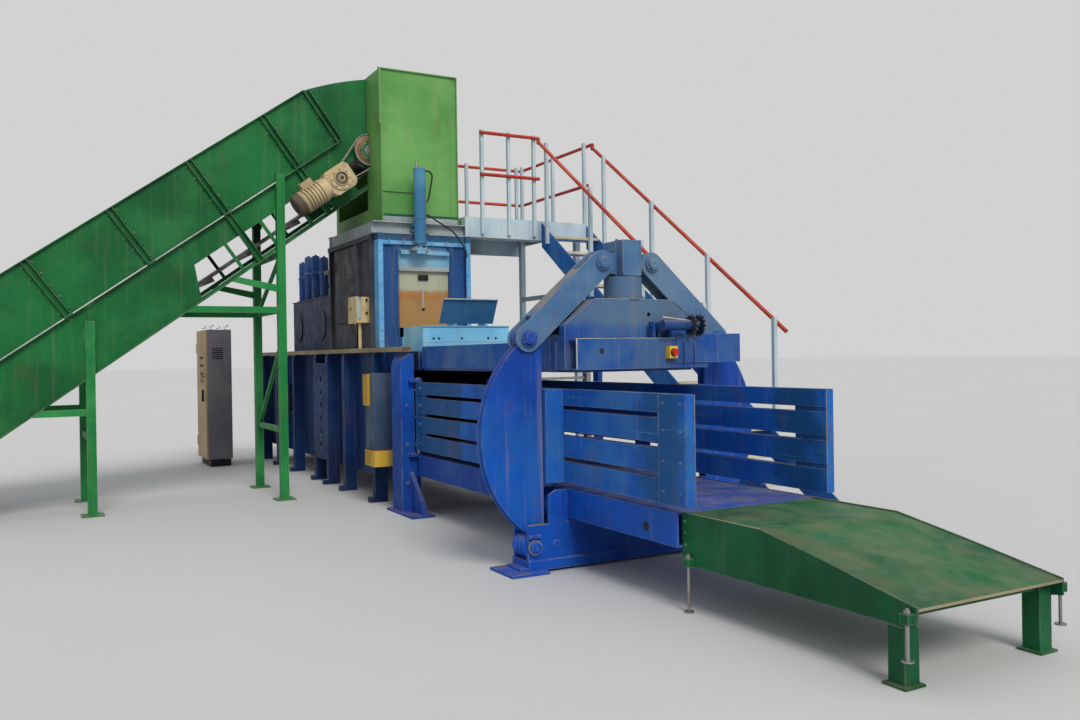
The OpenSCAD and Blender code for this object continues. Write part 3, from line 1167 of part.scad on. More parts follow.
module rail_posts() color([0.74, 0.77, 0.78]) {
  for (i = [0 : post_n - 1]) {
    stair_post(near_post_x + i * post_pitch, stair_y - post_w);
    stair_post(far_post_x + i * post_pitch, stair_y1);
  }
  for (y = [plat_y0 + 200, plat_y0 + 560, stair_y - 130])
    block([plat_x1, y, platform_z - 200], [plat_x1 + post_w, y + post_w, platform_z + rail_h]);
  for (y = [plat_y0 + 20, (plat_y0 + plat_y1) / 2, plat_y1 - 60])
    block([plat_x0 - post_w, y, platform_z - 200], [plat_x0, y + post_w, platform_z + rail_h]);
  for (x = [plat_x0 + 20, (plat_x0 + plat_x1) / 2, plat_x1 - 100])
    block([x, plat_y1, platform_z - 100], [x + post_w, plat_y1 + post_w, platform_z + rail_h]);
}
// Rails sit on the outer faces of their posts
rail_off = post_w + rail_r + 0.3;
rail_drop = 40;
rail_fall = atan(stair_fall / 1000);
module slope_rail(x0, x1, y) translate([x0, y, nose_z(x0) + rail_h - rail_drop])
  rotate([0, 90 + rail_fall, 0]) cylinder(h = (x1 - x0) / cos(rail_fall), r = rail_r);
module handrails() color(red) {
  slope_rail(plat_x1 + rail_off, near_post_x + (post_n - 1) * post_pitch + 140, stair_y - rail_off);
  slope_rail(plat_x1 + rail_off, far_post_x + (post_n - 1) * post_pitch + 140, stair_y1 + rail_off);
  for (y = [stair_y - rail_off, stair_y1 + rail_off]) translate([plat_x1 + rail_off, y, 0])
    bar_z(0, 0, platform_z + rail_h - rail_drop - rail_off - 8, platform_z + rail_h - rail_drop + 7, rail_r + 3);
  for (dz = [rail_h - rail_drop, rail_h - rail_drop - knee_drop]) {
    bar_x(plat_x0 - rail_off - 4, plat_x1 + (dz > rail_h - knee_drop ? rail_off : -60), plat_y1 + rail_off,
      platform_z + dz, rail_r);
    bar_y(plat_x1 + rail_off, plat_y0 + 180, stair_y - rail_off + 5, platform_z + dz, rail_r);
    bar_y(plat_x0 - rail_off, plat_y0, plat_y1 + rail_off + 6, platform_z + dz, rail_r);
  }
}

// Control cabinet on its plinth, with a door, and buttons on the door
cab_x1 = -8540;
cab_x0 = cab_x1 - cab_w;
cab_y1 = -1340;
cab_y0 = cab_y1 - cab_d;
cab_z0 = 110;
cab_z1 = cab_z0 + cab_h;
cab_door_t = 22;
module cabinet() color(grey) {
  difference() {
    block([cab_x0, cab_y0, cab_z0], [cab_x1, cab_y1, cab_z1]);
    block([cab_x0 + 20, cab_y0 - 1, cab_z0 + 20], [cab_x1 - 20, cab_y1 - 12, cab_z1 - 20]);
  }
  block([cab_x0 + 20, cab_y0 + 30, 0], [cab_x1 - 20, cab_y1 - 20, cab_z0]);
  block([cab_x0 + 60, cab_y1 - 32, cab_z0 + 60], [cab_x1 - 60, cab_y1 - 11, cab_z1 - 60]);
  for (z = cab_hinges) hinge_fixed(cab_hinge_x, cab_hinge_y, z, cab_y0 + 1);
  for (z = cab_hinges, z1 = [z - 26, z + hinge_h + 1])
    block([cab_hinge_x - 4, cab_y0, z1], [cab_x0 + 1, cab_y0 + 6, z1 + 25]);
}
cab_hinge_x = cab_x0 - hinge_r - 1;
cab_hinge_y = cab_y0 - cab_door_t;
cab_hinges = [cab_z0 + 200, cab_z1 - 320];
btn_x = [cab_x1 - 420, cab_x1 - 340, cab_x1 - 260];
btn_z = [cab_z1 - 420, cab_z1 - 540, cab_z1 - 660, cab_z1 - 780];
btn_r = 17;
module cabinet_door() color([0.60, 0.62, 0.60]) {
  difference() {
    union() {
      block([cab_x0 + 2, cab_y0 - cab_door_t, cab_z0 + 4], [cab_x1 - 4, cab_y0 - seat, cab_z1 - 4]);
      for (z = cab_hinges) {
        bar_z(cab_hinge_x, cab_hinge_y, z, z + hinge_h, hinge_r);
        block([cab_hinge_x, cab_hinge_y - 5, z], [cab_x0 + 30, cab_hinge_y + 1, z + hinge_h]);
      }
    }
    for (z = cab_hinges) hinge_bore(cab_hinge_x, cab_hinge_y, z);
    for (x = btn_x, z = btn_z) bar_y(x, cab_y0 - cab_door_t - 1, cab_y0 + 1, z, btn_r + fit);
  }
  bar_y(cab_x1 - 90, cab_y0 - 60, cab_y0 - 21, cab_z1 - 700, 22);
  block([cab_x1 - 105, cab_y0 - 85, cab_z1 - 790], [cab_x1 - 75, cab_y0 - 59, cab_z1 - 670]);
}
module cabinet_buttons() color(red) for (x = btn_x, z = btn_z) {
  bar_y(x, cab_y0 - 34, cab_y0 - 3, z, btn_r);
}
// Junction box on the near side of the hopper, with its conduit
jb_x0 = hop_x1 - 480;
module junction_box() color([0.80, 0.78, 0.70]) {
  block([jb_x0, -gate_half - 150, 2010], [jb_x0 + 300, -gate_half, 2310]);
  block([jb_x0 - 6, -gate_half - 162, 2004], [jb_x0 + 306, -gate_half - 150, 2316]);
  bar_z(jb_x0 + 220, -gate_half - 95, press_top + 50, 2010, 20);
  bar_z(jb_x0 + 60, -gate_half - 95, 1990, 2010, 16);
}

// Outlet ramp with its leg frame and jack screws
ramp_x0 = bed_x1;
ramp_x1 = ramp_x0 + ramp_len;
ramp_top = floor_z;
ramp_leg_x = ramp_x1 - 170;
ramp_out = half_w + 10;
ramp_x_bend = ramp_x0 + ramp_level + 480;
ramp_end_z = ramp_top - ramp_drop;
module ramp_outline() polygon([[ramp_x0, ramp_top + 4], [ramp_x0 + ramp_level, ramp_top + 4],
  [ramp_x_bend, ramp_top - 84], [ramp_x1, ramp_end_z], [ramp_x1, ramp_end_z - 90],
  [ramp_x1 - 90, ramp_end_z - 105], [ramp_x0, 281]]);
module ramp_floor() polygon([[ramp_x0, ramp_top - 16], [ramp_x0, ramp_top - 4],
  [ramp_x0 + ramp_level, ramp_top - 4], [ramp_x_bend, ramp_top - 92], [ramp_x1, ramp_end_z - 8],
  [ramp_x1, ramp_end_z - 20], [ramp_x_bend, ramp_top - 104], [ramp_x0 + ramp_level, ramp_top - 16]]);
module ramp() color(ramp_green) {
  difference() {
    union() {
      both_sides() along_y(-ramp_out, -ramp_out + 12) ramp_outline();
      both_sides() {
        block([ramp_leg_x, -ramp_out, 12], [ramp_leg_x + 100, -ramp_out + 100, ramp_top - ramp_drop - 20]);
        block([ramp_leg_x - 20, -ramp_out - 20, 0], [ramp_leg_x + 120, -ramp_out + 120, 12]);
        block([ramp_x0 + 60, -ramp_out - 45, 281], [ramp_x0 + 110, -ramp_out + 1, 331]);
        block([ramp_x1 - 60, -ramp_out - 45, ramp_end_z - 80], [ramp_x1 - 10, -ramp_out + 1, ramp_end_z - 30]);
      }
    }
    both_sides() {
      bar_z(ramp_x0 + 85, -ramp_out - 22, 280, 332, 9 + fit);
      bar_z(ramp_x1 - 35, -ramp_out - 22, ramp_top - ramp_drop - 81, ramp_top - ramp_drop - 29, 9 + fit);
    }
  }
  along_y(-ramp_out + 11, ramp_out - 11) ramp_floor();
  for (x = [ramp_x0 + 20, ramp_x0 + 620, ramp_leg_x + 30])
    block([x, -ramp_out + 11, 330], [x + 50, ramp_out - 11, 380]);
}
module jack_screws() color(steel) both_sides() {
  bar_z(ramp_x0 + 85, -ramp_out - 22, 6, 360, 9);
  bar_z(ramp_x0 + 85, -ramp_out - 22, 0, 8, 30);
  hex_z(ramp_x0 + 85, -ramp_out - 22, 331, 16, 17);
  bar_z(ramp_x1 - 35, -ramp_out - 22, 150, ramp_top - ramp_drop - 5, 9);
  bar_z(ramp_x1 - 35, -ramp_out - 22, 145, 152, 30);
  hex_z(ramp_x1 - 35, -ramp_out - 22, ramp_top - ramp_drop - 30, 16, 17);
}

// Star wheel that measures the bale: its shaft runs in a long housing on a short swing arm
star_piv_x = head_x1 + 62;
star_piv_z = top_z1 + 108;
star_y = 430;
star_in = 130;
star_len = 130;
star_r = 92;
star_teeth = 14;
star_x = star_piv_x + star_len;
module star_arm() color(dark) {
  difference() {
    union() {
      for (y = [star_in, star_in + 150]) {
        bar_y(star_piv_x, y, y + 20, star_piv_z, 34);
        block([star_piv_x, y, star_piv_z - 22], [star_x, y + 20, star_piv_z + 22]);
      }
      bar_y(star_x, star_in - 10, star_y - 66, star_piv_z, 40);
      block([star_piv_x + 40, star_in, star_piv_z + 12], [star_x + 30, star_y - 80, star_piv_z + 22]);
    }
    bar_y(star_piv_x, star_in - 1, star_in + 171, star_piv_z, 15 + fit);
  }
  bar_y(star_x, star_y - 67, star_y + 62, star_piv_z, 14);
}
module star_wheel() color([0.16, 0.24, 0.36]) difference() {
  union() {
    for (y = [star_y - 44, star_y + 32]) along_y(y, y + 12) translate([star_x, star_piv_z]) {
      circle(r = star_r - 22);
      for (i = [0 : star_teeth - 1]) rotate(i * 360 / star_teeth)
        polygon([[star_r - 26, -15], [star_r, 0], [star_r - 26, 15]]);
    }
    bar_y(star_x, star_y - 54, star_y + 54, star_piv_z, 34);
  }
  bar_y(star_x, star_y - 60, star_y + 60, star_piv_z, 14 + fit);
}
// Emergency stop on the front beam, and the bracket of the star arm
stop_y = 235;
stop_z = top_z0 + 142;
module estop_box() {
  color(yellow) difference() {
    block([beam_x1, stop_y - 38, stop_z - 47], [beam_x1 + 55, stop_y + 38, stop_z + 47]);
    bar_x(beam_x1 + 10, beam_x1 + 56, stop_y, stop_z, 11 + fit);
  }
  color(steel) {
    for (y = [star_in - 26, star_in + 22, star_in + 128])
      block([star_piv_x - 30, y, top_z1 + 10], [star_piv_x + 30, y + 20, star_piv_z + 30]);
    bar_y(star_piv_x, star_in - 34, star_in + 180, star_piv_z, 15);
    bar_y(star_piv_x, star_in + 172, star_in + 182, star_piv_z, 22);
  }
}
module estop_button() color(red) {
  bar_x(beam_x1 + 18, beam_x1 + 68, stop_y, stop_z, 11);
  bar_x(beam_x1 + 67, beam_x1 + 85, stop_y, stop_z, 26);
}

press_frame();
chamber_liner();
shear_bar();
main_cylinder();
ram();
main_rod();
channel_bed();
hinge_posts();
side_wall_near();
side_wall_far();
wall_hinge_pins();
top_plate();
squeeze_cylinder();
crosshead();
link_near();
link_far();
lever_near();
lever_far();
squeeze_base();
base_pins();
hopper();
hopper_door();
gate_frame();
tamper_cylinder();
tamper();
platform_beam();
hood();
hood_door();
service_box();
service_lid();
cable_tray();
twister_case();
twisters();
needle_rails();
needle_carriage();
wire_guards();
oil_tank();
pump_motor();
valve_block();
hydraulic_pipes();
conveyor_frame();
conveyor_legs();
conveyor_belt();
head_pulley();
tail_pulley();
gearmotor();
platform();
stairs();
rail_posts();
handrails();
cabinet();
cabinet_door();
cabinet_buttons();
junction_box();
ramp();
jack_screws();
star_arm();
star_wheel();
estop_box();
estop_button();
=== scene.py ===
"""Looks of a channel baler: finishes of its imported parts, small hardware and a plain studio."""

import logging
import math
from dataclasses import dataclass, field
from enum import Enum

import bmesh
import bpy
from mathutils import Matrix, Vector


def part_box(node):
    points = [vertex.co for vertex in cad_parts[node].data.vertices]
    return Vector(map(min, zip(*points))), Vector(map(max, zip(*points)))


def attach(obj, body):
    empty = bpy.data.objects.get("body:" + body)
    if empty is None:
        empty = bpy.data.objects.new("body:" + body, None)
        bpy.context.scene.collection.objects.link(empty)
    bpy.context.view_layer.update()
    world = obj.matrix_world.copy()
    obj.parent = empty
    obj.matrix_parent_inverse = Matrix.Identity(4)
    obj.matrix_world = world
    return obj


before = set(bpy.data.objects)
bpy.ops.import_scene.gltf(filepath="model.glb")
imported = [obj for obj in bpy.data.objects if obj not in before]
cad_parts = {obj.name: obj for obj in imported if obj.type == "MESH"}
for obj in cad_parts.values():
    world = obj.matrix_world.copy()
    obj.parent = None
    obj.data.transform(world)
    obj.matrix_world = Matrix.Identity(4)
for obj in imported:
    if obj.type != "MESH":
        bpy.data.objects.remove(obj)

LOG = logging.getLogger("baler")
# Corner radius of a hexagon that is 1 across its flats.
HEX_RADIUS = 0.577
# Edges sharper than this stay hard; bends of pipes have a ring each so many degrees.
SHARP_EDGE = math.radians(35)
BEND_STEP = 12
# Sockets of the colour mix node.
MIX_SHARE, MIX_FIRST, MIX_SECOND, MIX_RESULT = 0, 6, 7, 2
# Finishes: reflection, softness of a band's border and reach of worn edges in metres, noise offsets.
PAINT_SPECULAR, METAL_SPECULAR = 0.22, 0.5
BAND_SOFTNESS = 0.004
EDGE_REACH = 0.009
SEEDS = 37
Rgb = tuple[float, float, float]
Shown = tuple[int, int, int]
Spot = tuple[float, float, float]
Grown = tuple[bmesh.types.BMFace, list[bmesh.types.BMVert]]
AHEAD, BACK, FAR, NEAR, UP, DOWN = (1, 0, 0), (-1, 0, 0), (0, 1, 0), (0, -1, 0), (0, 0, 1), (0, 0, -1)
SIDES = (-1, 1)
TAGS = ((-1, "near"), (1, "far"))


def linear(shown: Shown) -> Rgb:
    """Turn a display colour into the linear colour that shaders use.

    Args:
        shown: Red, green and blue, 0 to 255.

    Returns:
        The linear red, green and blue, 0 to 1.
    """
    parts = (value / 255 for value in shown)
    return tuple(part / 12.92 if part <= 0.04045 else ((part + 0.055) / 1.055) ** 2.4 for part in parts)


class Wiring:
    """The node tree of one finish, with short calls for the nodes that the finishes share."""

    def __init__(self, name: str) -> None:
        """Start a material that holds one Principled shader.

        Args:
            name: Name of the material.
        """
        self.material = bpy.data.materials.new(name)
        self.material.use_nodes = True
        self.tree = self.material.node_tree
        self.shader = self.tree.nodes["Principled BSDF"]
        self.coordinates = self.node("ShaderNodeTexCoord")

    def node(self, kind: str, **settings: object) -> bpy.types.Node:
        """Add a node and set its properties.

        Args:
            kind: Blender's type name of the node.
            **settings: Properties of the node by name.

        Returns:
            The new node.
        """
        made = self.tree.nodes.new(kind)
        for key, value in settings.items():
            setattr(made, key, value)
        return made

    def feed(self, socket: bpy.types.NodeSocket, value: object) -> None:
        """Link a socket to another socket, or give it a constant.

        Args:
            socket: The input to fill.
            value: An output socket, a number or a colour.
        """
        if isinstance(value, bpy.types.NodeSocket):
            self.tree.links.new(value, socket)
        elif isinstance(value, tuple):
            socket.default_value = (*value, 1.0)
        else:
            socket.default_value = value

    def sums(self, operation: str, first: object, second: object = 0.0) -> bpy.types.NodeSocket:
        """Work out one number from two.

        Args:
            operation: Operation of the Math node.
            first: First value or socket.
            second: Second value or socket.

        Returns:
            The socket with the result.
        """
        made = self.node("ShaderNodeMath", operation=operation,
            use_clamp=operation in ("MULTIPLY", "ADD", "SUBTRACT"))
        self.feed(made.inputs[0], first)
        self.feed(made.inputs[1], second)
        return made.outputs[0]

    def noise(self, scale: float, stretch: Rgb = (1.0, 1.0, 1.0), detail: float = 4.0,
            shift: Rgb = (0.0, 0.0, 0.0)) -> bpy.types.NodeSocket:
        """Add a noise pattern on Object coordinates.

        Args:
            scale: Patches for each metre, before the stretch.
            stretch: Scale along each axis; a low number draws the patches out that way.
            detail: How much finer detail the noise has.
            shift: Offset of the pattern, to keep two noises apart.

        Returns:
            The noise value, 0 to 1.
        """
        place = self.node("ShaderNodeMapping")
        self.feed(place.inputs["Vector"], self.coordinates.outputs["Object"])
        place.inputs["Scale"].default_value = stretch
        place.inputs["Location"].default_value = shift
        made = self.node("ShaderNodeTexNoise")
        self.feed(made.inputs["Vector"], place.outputs["Vector"])
        self.feed(made.inputs["Scale"], scale)
        self.feed(made.inputs["Detail"], detail)
        self.feed(made.inputs["Roughness"], 0.6)
        return made.outputs["Fac"]

    def between(self, value: object, low: float, high: float, top: float = 1.0) -> bpy.types.NodeSocket:
        """Map a value that lies from low to high onto 0 to top, smoothly and clamped.

        Args:
            value: The value or socket to map.
            low: Where the result is 0.
            high: Where the result is top.
            top: Largest result.

        Returns:
            The mapped value.
        """
        made = self.node("ShaderNodeMapRange", interpolation_type="SMOOTHSTEP")
        for index, number in enumerate((value, low, high, 0.0, top)):
            self.feed(made.inputs[index], number)
        return made.outputs[0]

    def mix(self, amount: object, first: object, second: object) -> bpy.types.NodeSocket:
        """Mix two colours.

        Args:
            amount: Share of the second colour.
            first: First colour or socket.
            second: Second colour or socket.

        Returns:
            The mixed colour.
        """
        made = self.node("ShaderNodeMix", data_type="RGBA")
        for socket, value in ((MIX_SHARE, amount), (MIX_FIRST, first), (MIX_SECOND, second)):
            self.feed(made.inputs[socket], value)
        return made.outputs[MIX_RESULT]

    def height(self) -> bpy.types.NodeSocket:
        """Height above the floor."""
        return self.axis("Z")

    def axis(self, name: str) -> bpy.types.NodeSocket:
        """One Object coordinate.

        Args:
            name: X, Y or Z.

        Returns:
            The coordinate.
        """
        made = self.node("ShaderNodeSeparateXYZ")
        self.feed(made.inputs[0], self.coordinates.outputs["Object"])
        return made.outputs[name]

    def facing_up(self) -> bpy.types.NodeSocket:
        """Tell how far a face looks up.

        Returns:
            1 on a level top, 0 on upright faces and below.
        """
        made = self.node("ShaderNodeSeparateXYZ")
        self.feed(made.inputs[0], self.coordinates.outputs["Normal"])
        return self.between(made.outputs["Z"], 0.35, 0.95)

    def edges(self, radius: float) -> bpy.types.NodeSocket:
        """Where the surface turns an edge.

        Args:
            radius: How far from the edge it reaches, in metres.

        Returns:
            0 on flat faces, rising to 1 on the edge.
        """
        soft = self.node("ShaderNodeBevel", samples=3)
        soft.inputs["Radius"].default_value = radius
        plain = self.node("ShaderNodeNewGeometry")
        dot = self.node("ShaderNodeVectorMath", operation="DOT_PRODUCT")
        self.feed(dot.inputs[0], soft.outputs[0])
        self.feed(dot.inputs[1], plain.outputs["Normal"])
        return self.sums("SUBTRACT", 1.0, self.between(dot.outputs["Value"], 0.86, 0.995))

    def bump(self, height: object, strength: float, depth: float) -> None:
        """Give the shader a bump.

        Args:
            height: The height pattern.
            strength: Strength of the bump.
            depth: Height of the pattern in metres.
        """
        made = self.node("ShaderNodeBump")
        made.inputs["Strength"].default_value = strength
        made.inputs["Distance"].default_value = depth
        self.feed(made.inputs["Height"], height)
        self.feed(self.shader.inputs["Normal"], made.outputs["Normal"])

    def finish(self, colour: object, roughness: object, metallic: float = 0.0) -> bpy.types.Material:
        """Fill the shader and hand the material over.

        Args:
            colour: Base colour or socket.
            roughness: Roughness or socket.
            metallic: Metallic share, the same all over.

        Returns:
            The finished material.
        """
        self.feed(self.shader.inputs["Base Color"], colour)
        self.feed(self.shader.inputs["Roughness"], roughness)
        specular = METAL_SPECULAR if metallic else PAINT_SPECULAR
        self.shader.inputs["Specular IOR Level"].default_value = specular
        self.shader.inputs["Metallic"].default_value = metallic
        plain = colour if isinstance(colour, tuple) else (0.5, 0.5, 0.5)
        self.material.diffuse_color = (*plain, 1.0)
        return self.material


class Run(Enum):
    """The way that scratches and streaks run on a painted part."""

    ALONG = (0.35, 9.0, 9.0)
    ACROSS = (9.0, 0.35, 9.0)
    UPRIGHT = (9.0, 9.0, 0.35)


@dataclass(frozen=True)
class Band:
    """A stretch of a part, along one axis, that has another colour: two-tone paint, and on the gate frame
    painted shade.
    """

    axis: str
    start: float
    end: float
    colour: Shown
    mirrored: bool = False
    under: float = 99.0
    ragged: float = 0.0

    def mask(self, w: Wiring) -> bpy.types.NodeSocket:
        """Wire the band's mask.

        Args:
            w: The node tree that takes it.

        Returns:
            1 inside the band and 0 outside.
        """
        place = w.axis(self.axis)
        if self.mirrored:
            place = w.sums("ABSOLUTE", place)
        soft = BAND_SOFTNESS + self.ragged
        if self.ragged:
            wave = w.node("ShaderNodeMath", operation="MULTIPLY_ADD")
            for index, value in enumerate((w.noise(6.0, detail=6.0), self.ragged * 6, place)):
                w.feed(wave.inputs[index], value)
            place = wave.outputs[0]
        inside = w.sums("MULTIPLY", w.between(place, self.start - soft, self.start + soft),
            w.sums("SUBTRACT", 1.0, w.between(place, self.end - soft, self.end + soft)))
        return w.sums("MULTIPLY", inside, w.sums("LESS_THAN", w.height(), self.under))


@dataclass(frozen=True)
class Paint:
    """Machine paint that has faded, gathered dust and worn through on its edges, with bands for two-tone
    colour and, on the gate frame, for painted shade.
    """

    name: str
    colour: Shown
    faded: Shown
    deep: Shown
    fade_heights: tuple[float, float] | None = None
    dust: float = 0.35
    streaks: float = 0.35
    scratches: float = 0.3
    rust: float = 0.12
    edge: float = 0.6
    run: Run = Run.ALONG
    gloss: float = 0.42
    dust_colour: Shown = (150, 132, 108)
    rust_colour: Shown = (110, 62, 34)
    edge_colour: Shown = (150, 150, 146)
    bands: tuple[Band, ...] = ()

    def build(self) -> bpy.types.Material:
        """Wire the paint's layers.

        Returns:
            The material.
        """
        w = Wiring(self.name)
        seed = float(sum(map(ord, self.name)) % SEEDS)
        blotch = w.noise(0.9, shift=(seed, 0, 0))
        colour = w.mix(w.between(blotch, 0.35, 0.62), linear(self.colour), linear(self.deep))
        fading = w.between(w.noise(1.7, shift=(0, seed, 3)), 0.42, 0.68, 0.55)
        if self.fade_heights:
            low, high = self.fade_heights
            fading = w.sums("ADD", fading, w.between(w.height(), low, high, 0.85))
        colour = w.mix(fading, colour, linear(self.faded))
        # Bands: two-tone paint, and on the gate frame painted shade.
        for band in self.bands:
            colour = w.mix(band.mask(w), colour, linear(band.colour))
        streak = w.between(w.noise(2.2, Run.UPRIGHT.value, 5.0, (seed, 5, 1)), 0.52, 0.74, self.streaks)
        colour = w.mix(streak, colour, linear(self.dust_colour))
        smudge = w.between(w.noise(3.4, (1, 1, 0.6), 8.0, (2, seed, 9)), 0.55, 0.72, self.rust * 2.4)
        colour = w.mix(smudge, colour, linear(self.rust_colour))
        score = w.between(w.noise(4.5, self.run.value, 6.0, (seed, 1, 7)), 0.60, 0.72, self.scratches)
        colour = w.mix(score, colour, linear(self.faded))
        dusty = w.sums("MULTIPLY", w.facing_up(), w.between(w.noise(5.0, detail=6.0), 0.25, 0.7,
            self.dust * 1.5))
        colour = w.mix(dusty, colour, linear(self.dust_colour))
        chips = w.noise(7.0, detail=6.0, shift=(seed, 0, 4))
        worn = w.sums("MULTIPLY", w.edges(EDGE_REACH), w.between(chips, 0.36, 0.6, self.edge))
        colour = w.mix(worn, colour, linear(self.edge_colour))
        rough = w.between(w.noise(6.0, detail=5.0), 0.2, 0.8, 0.28)
        rough = w.sums("ADD", self.gloss, rough)
        w.bump(w.noise(38.0, detail=3.0), 0.12, 0.002)
        return w.finish(colour, rough)


@dataclass(frozen=True)
class Steel:
    """Bare steel with stains and a brushed or rubbed grain."""

    name: str
    colour: Shown = (168, 168, 166)
    stain: Shown = (96, 78, 60)
    stained: float = 0.5
    run: Run = Run.ALONG
    gloss: float = 0.34

    def build(self) -> bpy.types.Material:
        """Wire the steel's layers.

        Returns:
            The material.
        """
        w = Wiring(self.name)
        grain = w.noise(26.0, self.run.value, 3.0)
        light = linear(self.colour)
        colour = w.mix(w.between(grain, 0.3, 0.7, 0.3), light, tuple(part * 0.62 for part in light))
        stains = w.between(w.noise(5.5, detail=7.0), 0.42, 0.68, self.stained)
        colour = w.mix(stains, colour, linear(self.stain))
        rough = w.sums("ADD", self.gloss, w.between(grain, 0.3, 0.7, 0.25))
        w.bump(grain, 0.08, 0.001)
        return w.finish(colour, rough, 0.8)


@dataclass(frozen=True)
class Rubber:
    """Dusty belt rubber with a fine fabric print."""

    name: str
    colour: Shown = (40, 40, 42)
    dust: Shown = (112, 102, 88)

    def build(self) -> bpy.types.Material:
        """Wire the rubber's layers.

        Returns:
            The material.
        """
        w = Wiring(self.name)
        dusty = w.between(w.noise(6.0, detail=7.0), 0.38, 0.7, 0.7)
        colour = w.mix(dusty, linear(self.colour), linear(self.dust))
        w.bump(w.noise(160.0, detail=2.0), 0.3, 0.001)
        return w.finish(colour, w.between(w.noise(9.0), 0.0, 1.0, 0.95))


@dataclass(frozen=True)
class Plastic:
    """Moulded plastic with a fine grain, rubbed and a little dirty."""

    name: str
    colour: Shown
    dirt: Shown = (90, 78, 62)
    dirty: float = 0.3
    gloss: float = 0.38

    def build(self) -> bpy.types.Material:
        """Wire the plastic's layers.

        Returns:
            The material.
        """
        w = Wiring(self.name)
        soiled = w.between(w.noise(8.0, detail=6.0), 0.45, 0.75, self.dirty)
        colour = w.mix(soiled, linear(self.colour), linear(self.dirt))
        rough = w.sums("ADD", self.gloss, w.between(w.noise(14.0, detail=4.0), 0.3, 0.7, 0.2))
        w.bump(w.noise(220.0, detail=1.0), 0.1, 0.0006)
        return w.finish(colour, rough)


Finish = Paint | Steel | Rubber | Plastic


@dataclass(frozen=True)
class Studio:
    """Plain pale floor, soft light and the camera at the photograph's place."""

    eye: Spot = (6.2953, -4.1858, 1.5936)
    yaw: float = 61.1077
    pitch: float = -0.2510
    roll: float = -0.8520
    focal_px: float = 947.625
    width_px: float = 1080.0
    clip: tuple[float, float] = (0.1, 600.0)
    sensor_mm: float = 36.0
    floor_size: float = 400.0
    floor_drop: float = 0.002
    floor_colour: Rgb = (0.60, 0.60, 0.595)
    backdrop: float = 0.64
    sky_colour: tuple[float, ...] = (0.95, 0.97, 1.0, 1.0)
    sky_strength: float = 0.62
    sun_strength: float = 1.9
    sun_width: float = 24.0
    sun_colour: Rgb = (1.0, 0.97, 0.92)
    sun_from: Spot = (0.80, -0.10, 0.72)

    def add(self, name: str, data: bpy.types.ID) -> bpy.types.Object:
        """Put an object into the scene.

        Args:
            name: Name of the object.
            data: Its mesh, camera or light.

        Returns:
            The object.
        """
        made = bpy.data.objects.new(name, data)
        bpy.context.scene.collection.objects.link(made)
        return made

    def place_camera(self) -> None:
        """Stand the camera where the photograph was taken."""
        data = bpy.data.cameras.new("camera")
        data.sensor_width = self.sensor_mm
        data.lens = self.focal_px * self.sensor_mm / self.width_px
        data.clip_start, data.clip_end = self.clip
        camera = self.add("camera", data)
        aside = Matrix.Rotation(math.radians(self.yaw), 4, "Z")
        upward = Matrix.Rotation(math.radians(90 + self.pitch), 4, "X")
        lean = Matrix.Rotation(math.radians(self.roll), 4, "Z")
        camera.matrix_world = Matrix.Translation(self.eye) @ aside @ upward @ lean
        bpy.context.scene.camera = camera

    def lay_floor(self) -> None:
        """Lay the floor, a wide sheet just below the feet."""
        mesh = bmesh.new()
        bmesh.ops.create_grid(mesh, x_segments=4, y_segments=4, size=self.floor_size / 2)
        data = bpy.data.meshes.new("floor")
        mesh.to_mesh(data)
        mesh.free()
        data.transform(Matrix.Translation((0, 0, -self.floor_drop)))
        w = Wiring("pale_floor")
        patches = w.between(w.noise(0.5, detail=3.0), 0.3, 0.7, 0.35)
        darker = tuple(part * 0.95 for part in self.floor_colour)
        data.materials.append(w.finish(w.mix(patches, self.floor_colour, darker), 0.85))
        self.add("floor", data)

    def hang_lights(self) -> None:
        """Light the room with an even world and one broad sun from the bale side."""
        world = bpy.data.worlds.new("studio")
        bpy.context.scene.world = world
        world.use_nodes = True
        tree = world.node_tree
        light = tree.nodes["Background"]
        light.inputs["Color"].default_value = self.sky_colour
        light.inputs["Strength"].default_value = self.sky_strength
        shown = tree.nodes.new("ShaderNodeBackground")
        shown.inputs["Color"].default_value = (self.backdrop, self.backdrop, self.backdrop, 1.0)
        path = tree.nodes.new("ShaderNodeLightPath")
        mixed = tree.nodes.new("ShaderNodeMixShader")
        for source, socket in ((path.outputs["Is Camera Ray"], mixed.inputs[0]),
                (light.outputs[0], mixed.inputs[1]), (shown.outputs[0], mixed.inputs[2]),
                (mixed.outputs[0], tree.nodes["World Output"].inputs["Surface"])):
            tree.links.new(source, socket)
        sun = bpy.data.lights.new("key", "SUN")
        sun.energy, sun.angle, sun.color = self.sun_strength, math.radians(self.sun_width), self.sun_colour
        self.add("key", sun).rotation_euler = Vector(self.sun_from).to_track_quat("Z", "Y").to_euler()

    def build(self) -> None:
        """Set the camera, the floor, the lights and the plain view."""
        bpy.context.scene.view_settings.view_transform = "Standard"
        self.place_camera()
        self.lay_floor()
        self.hang_lights()


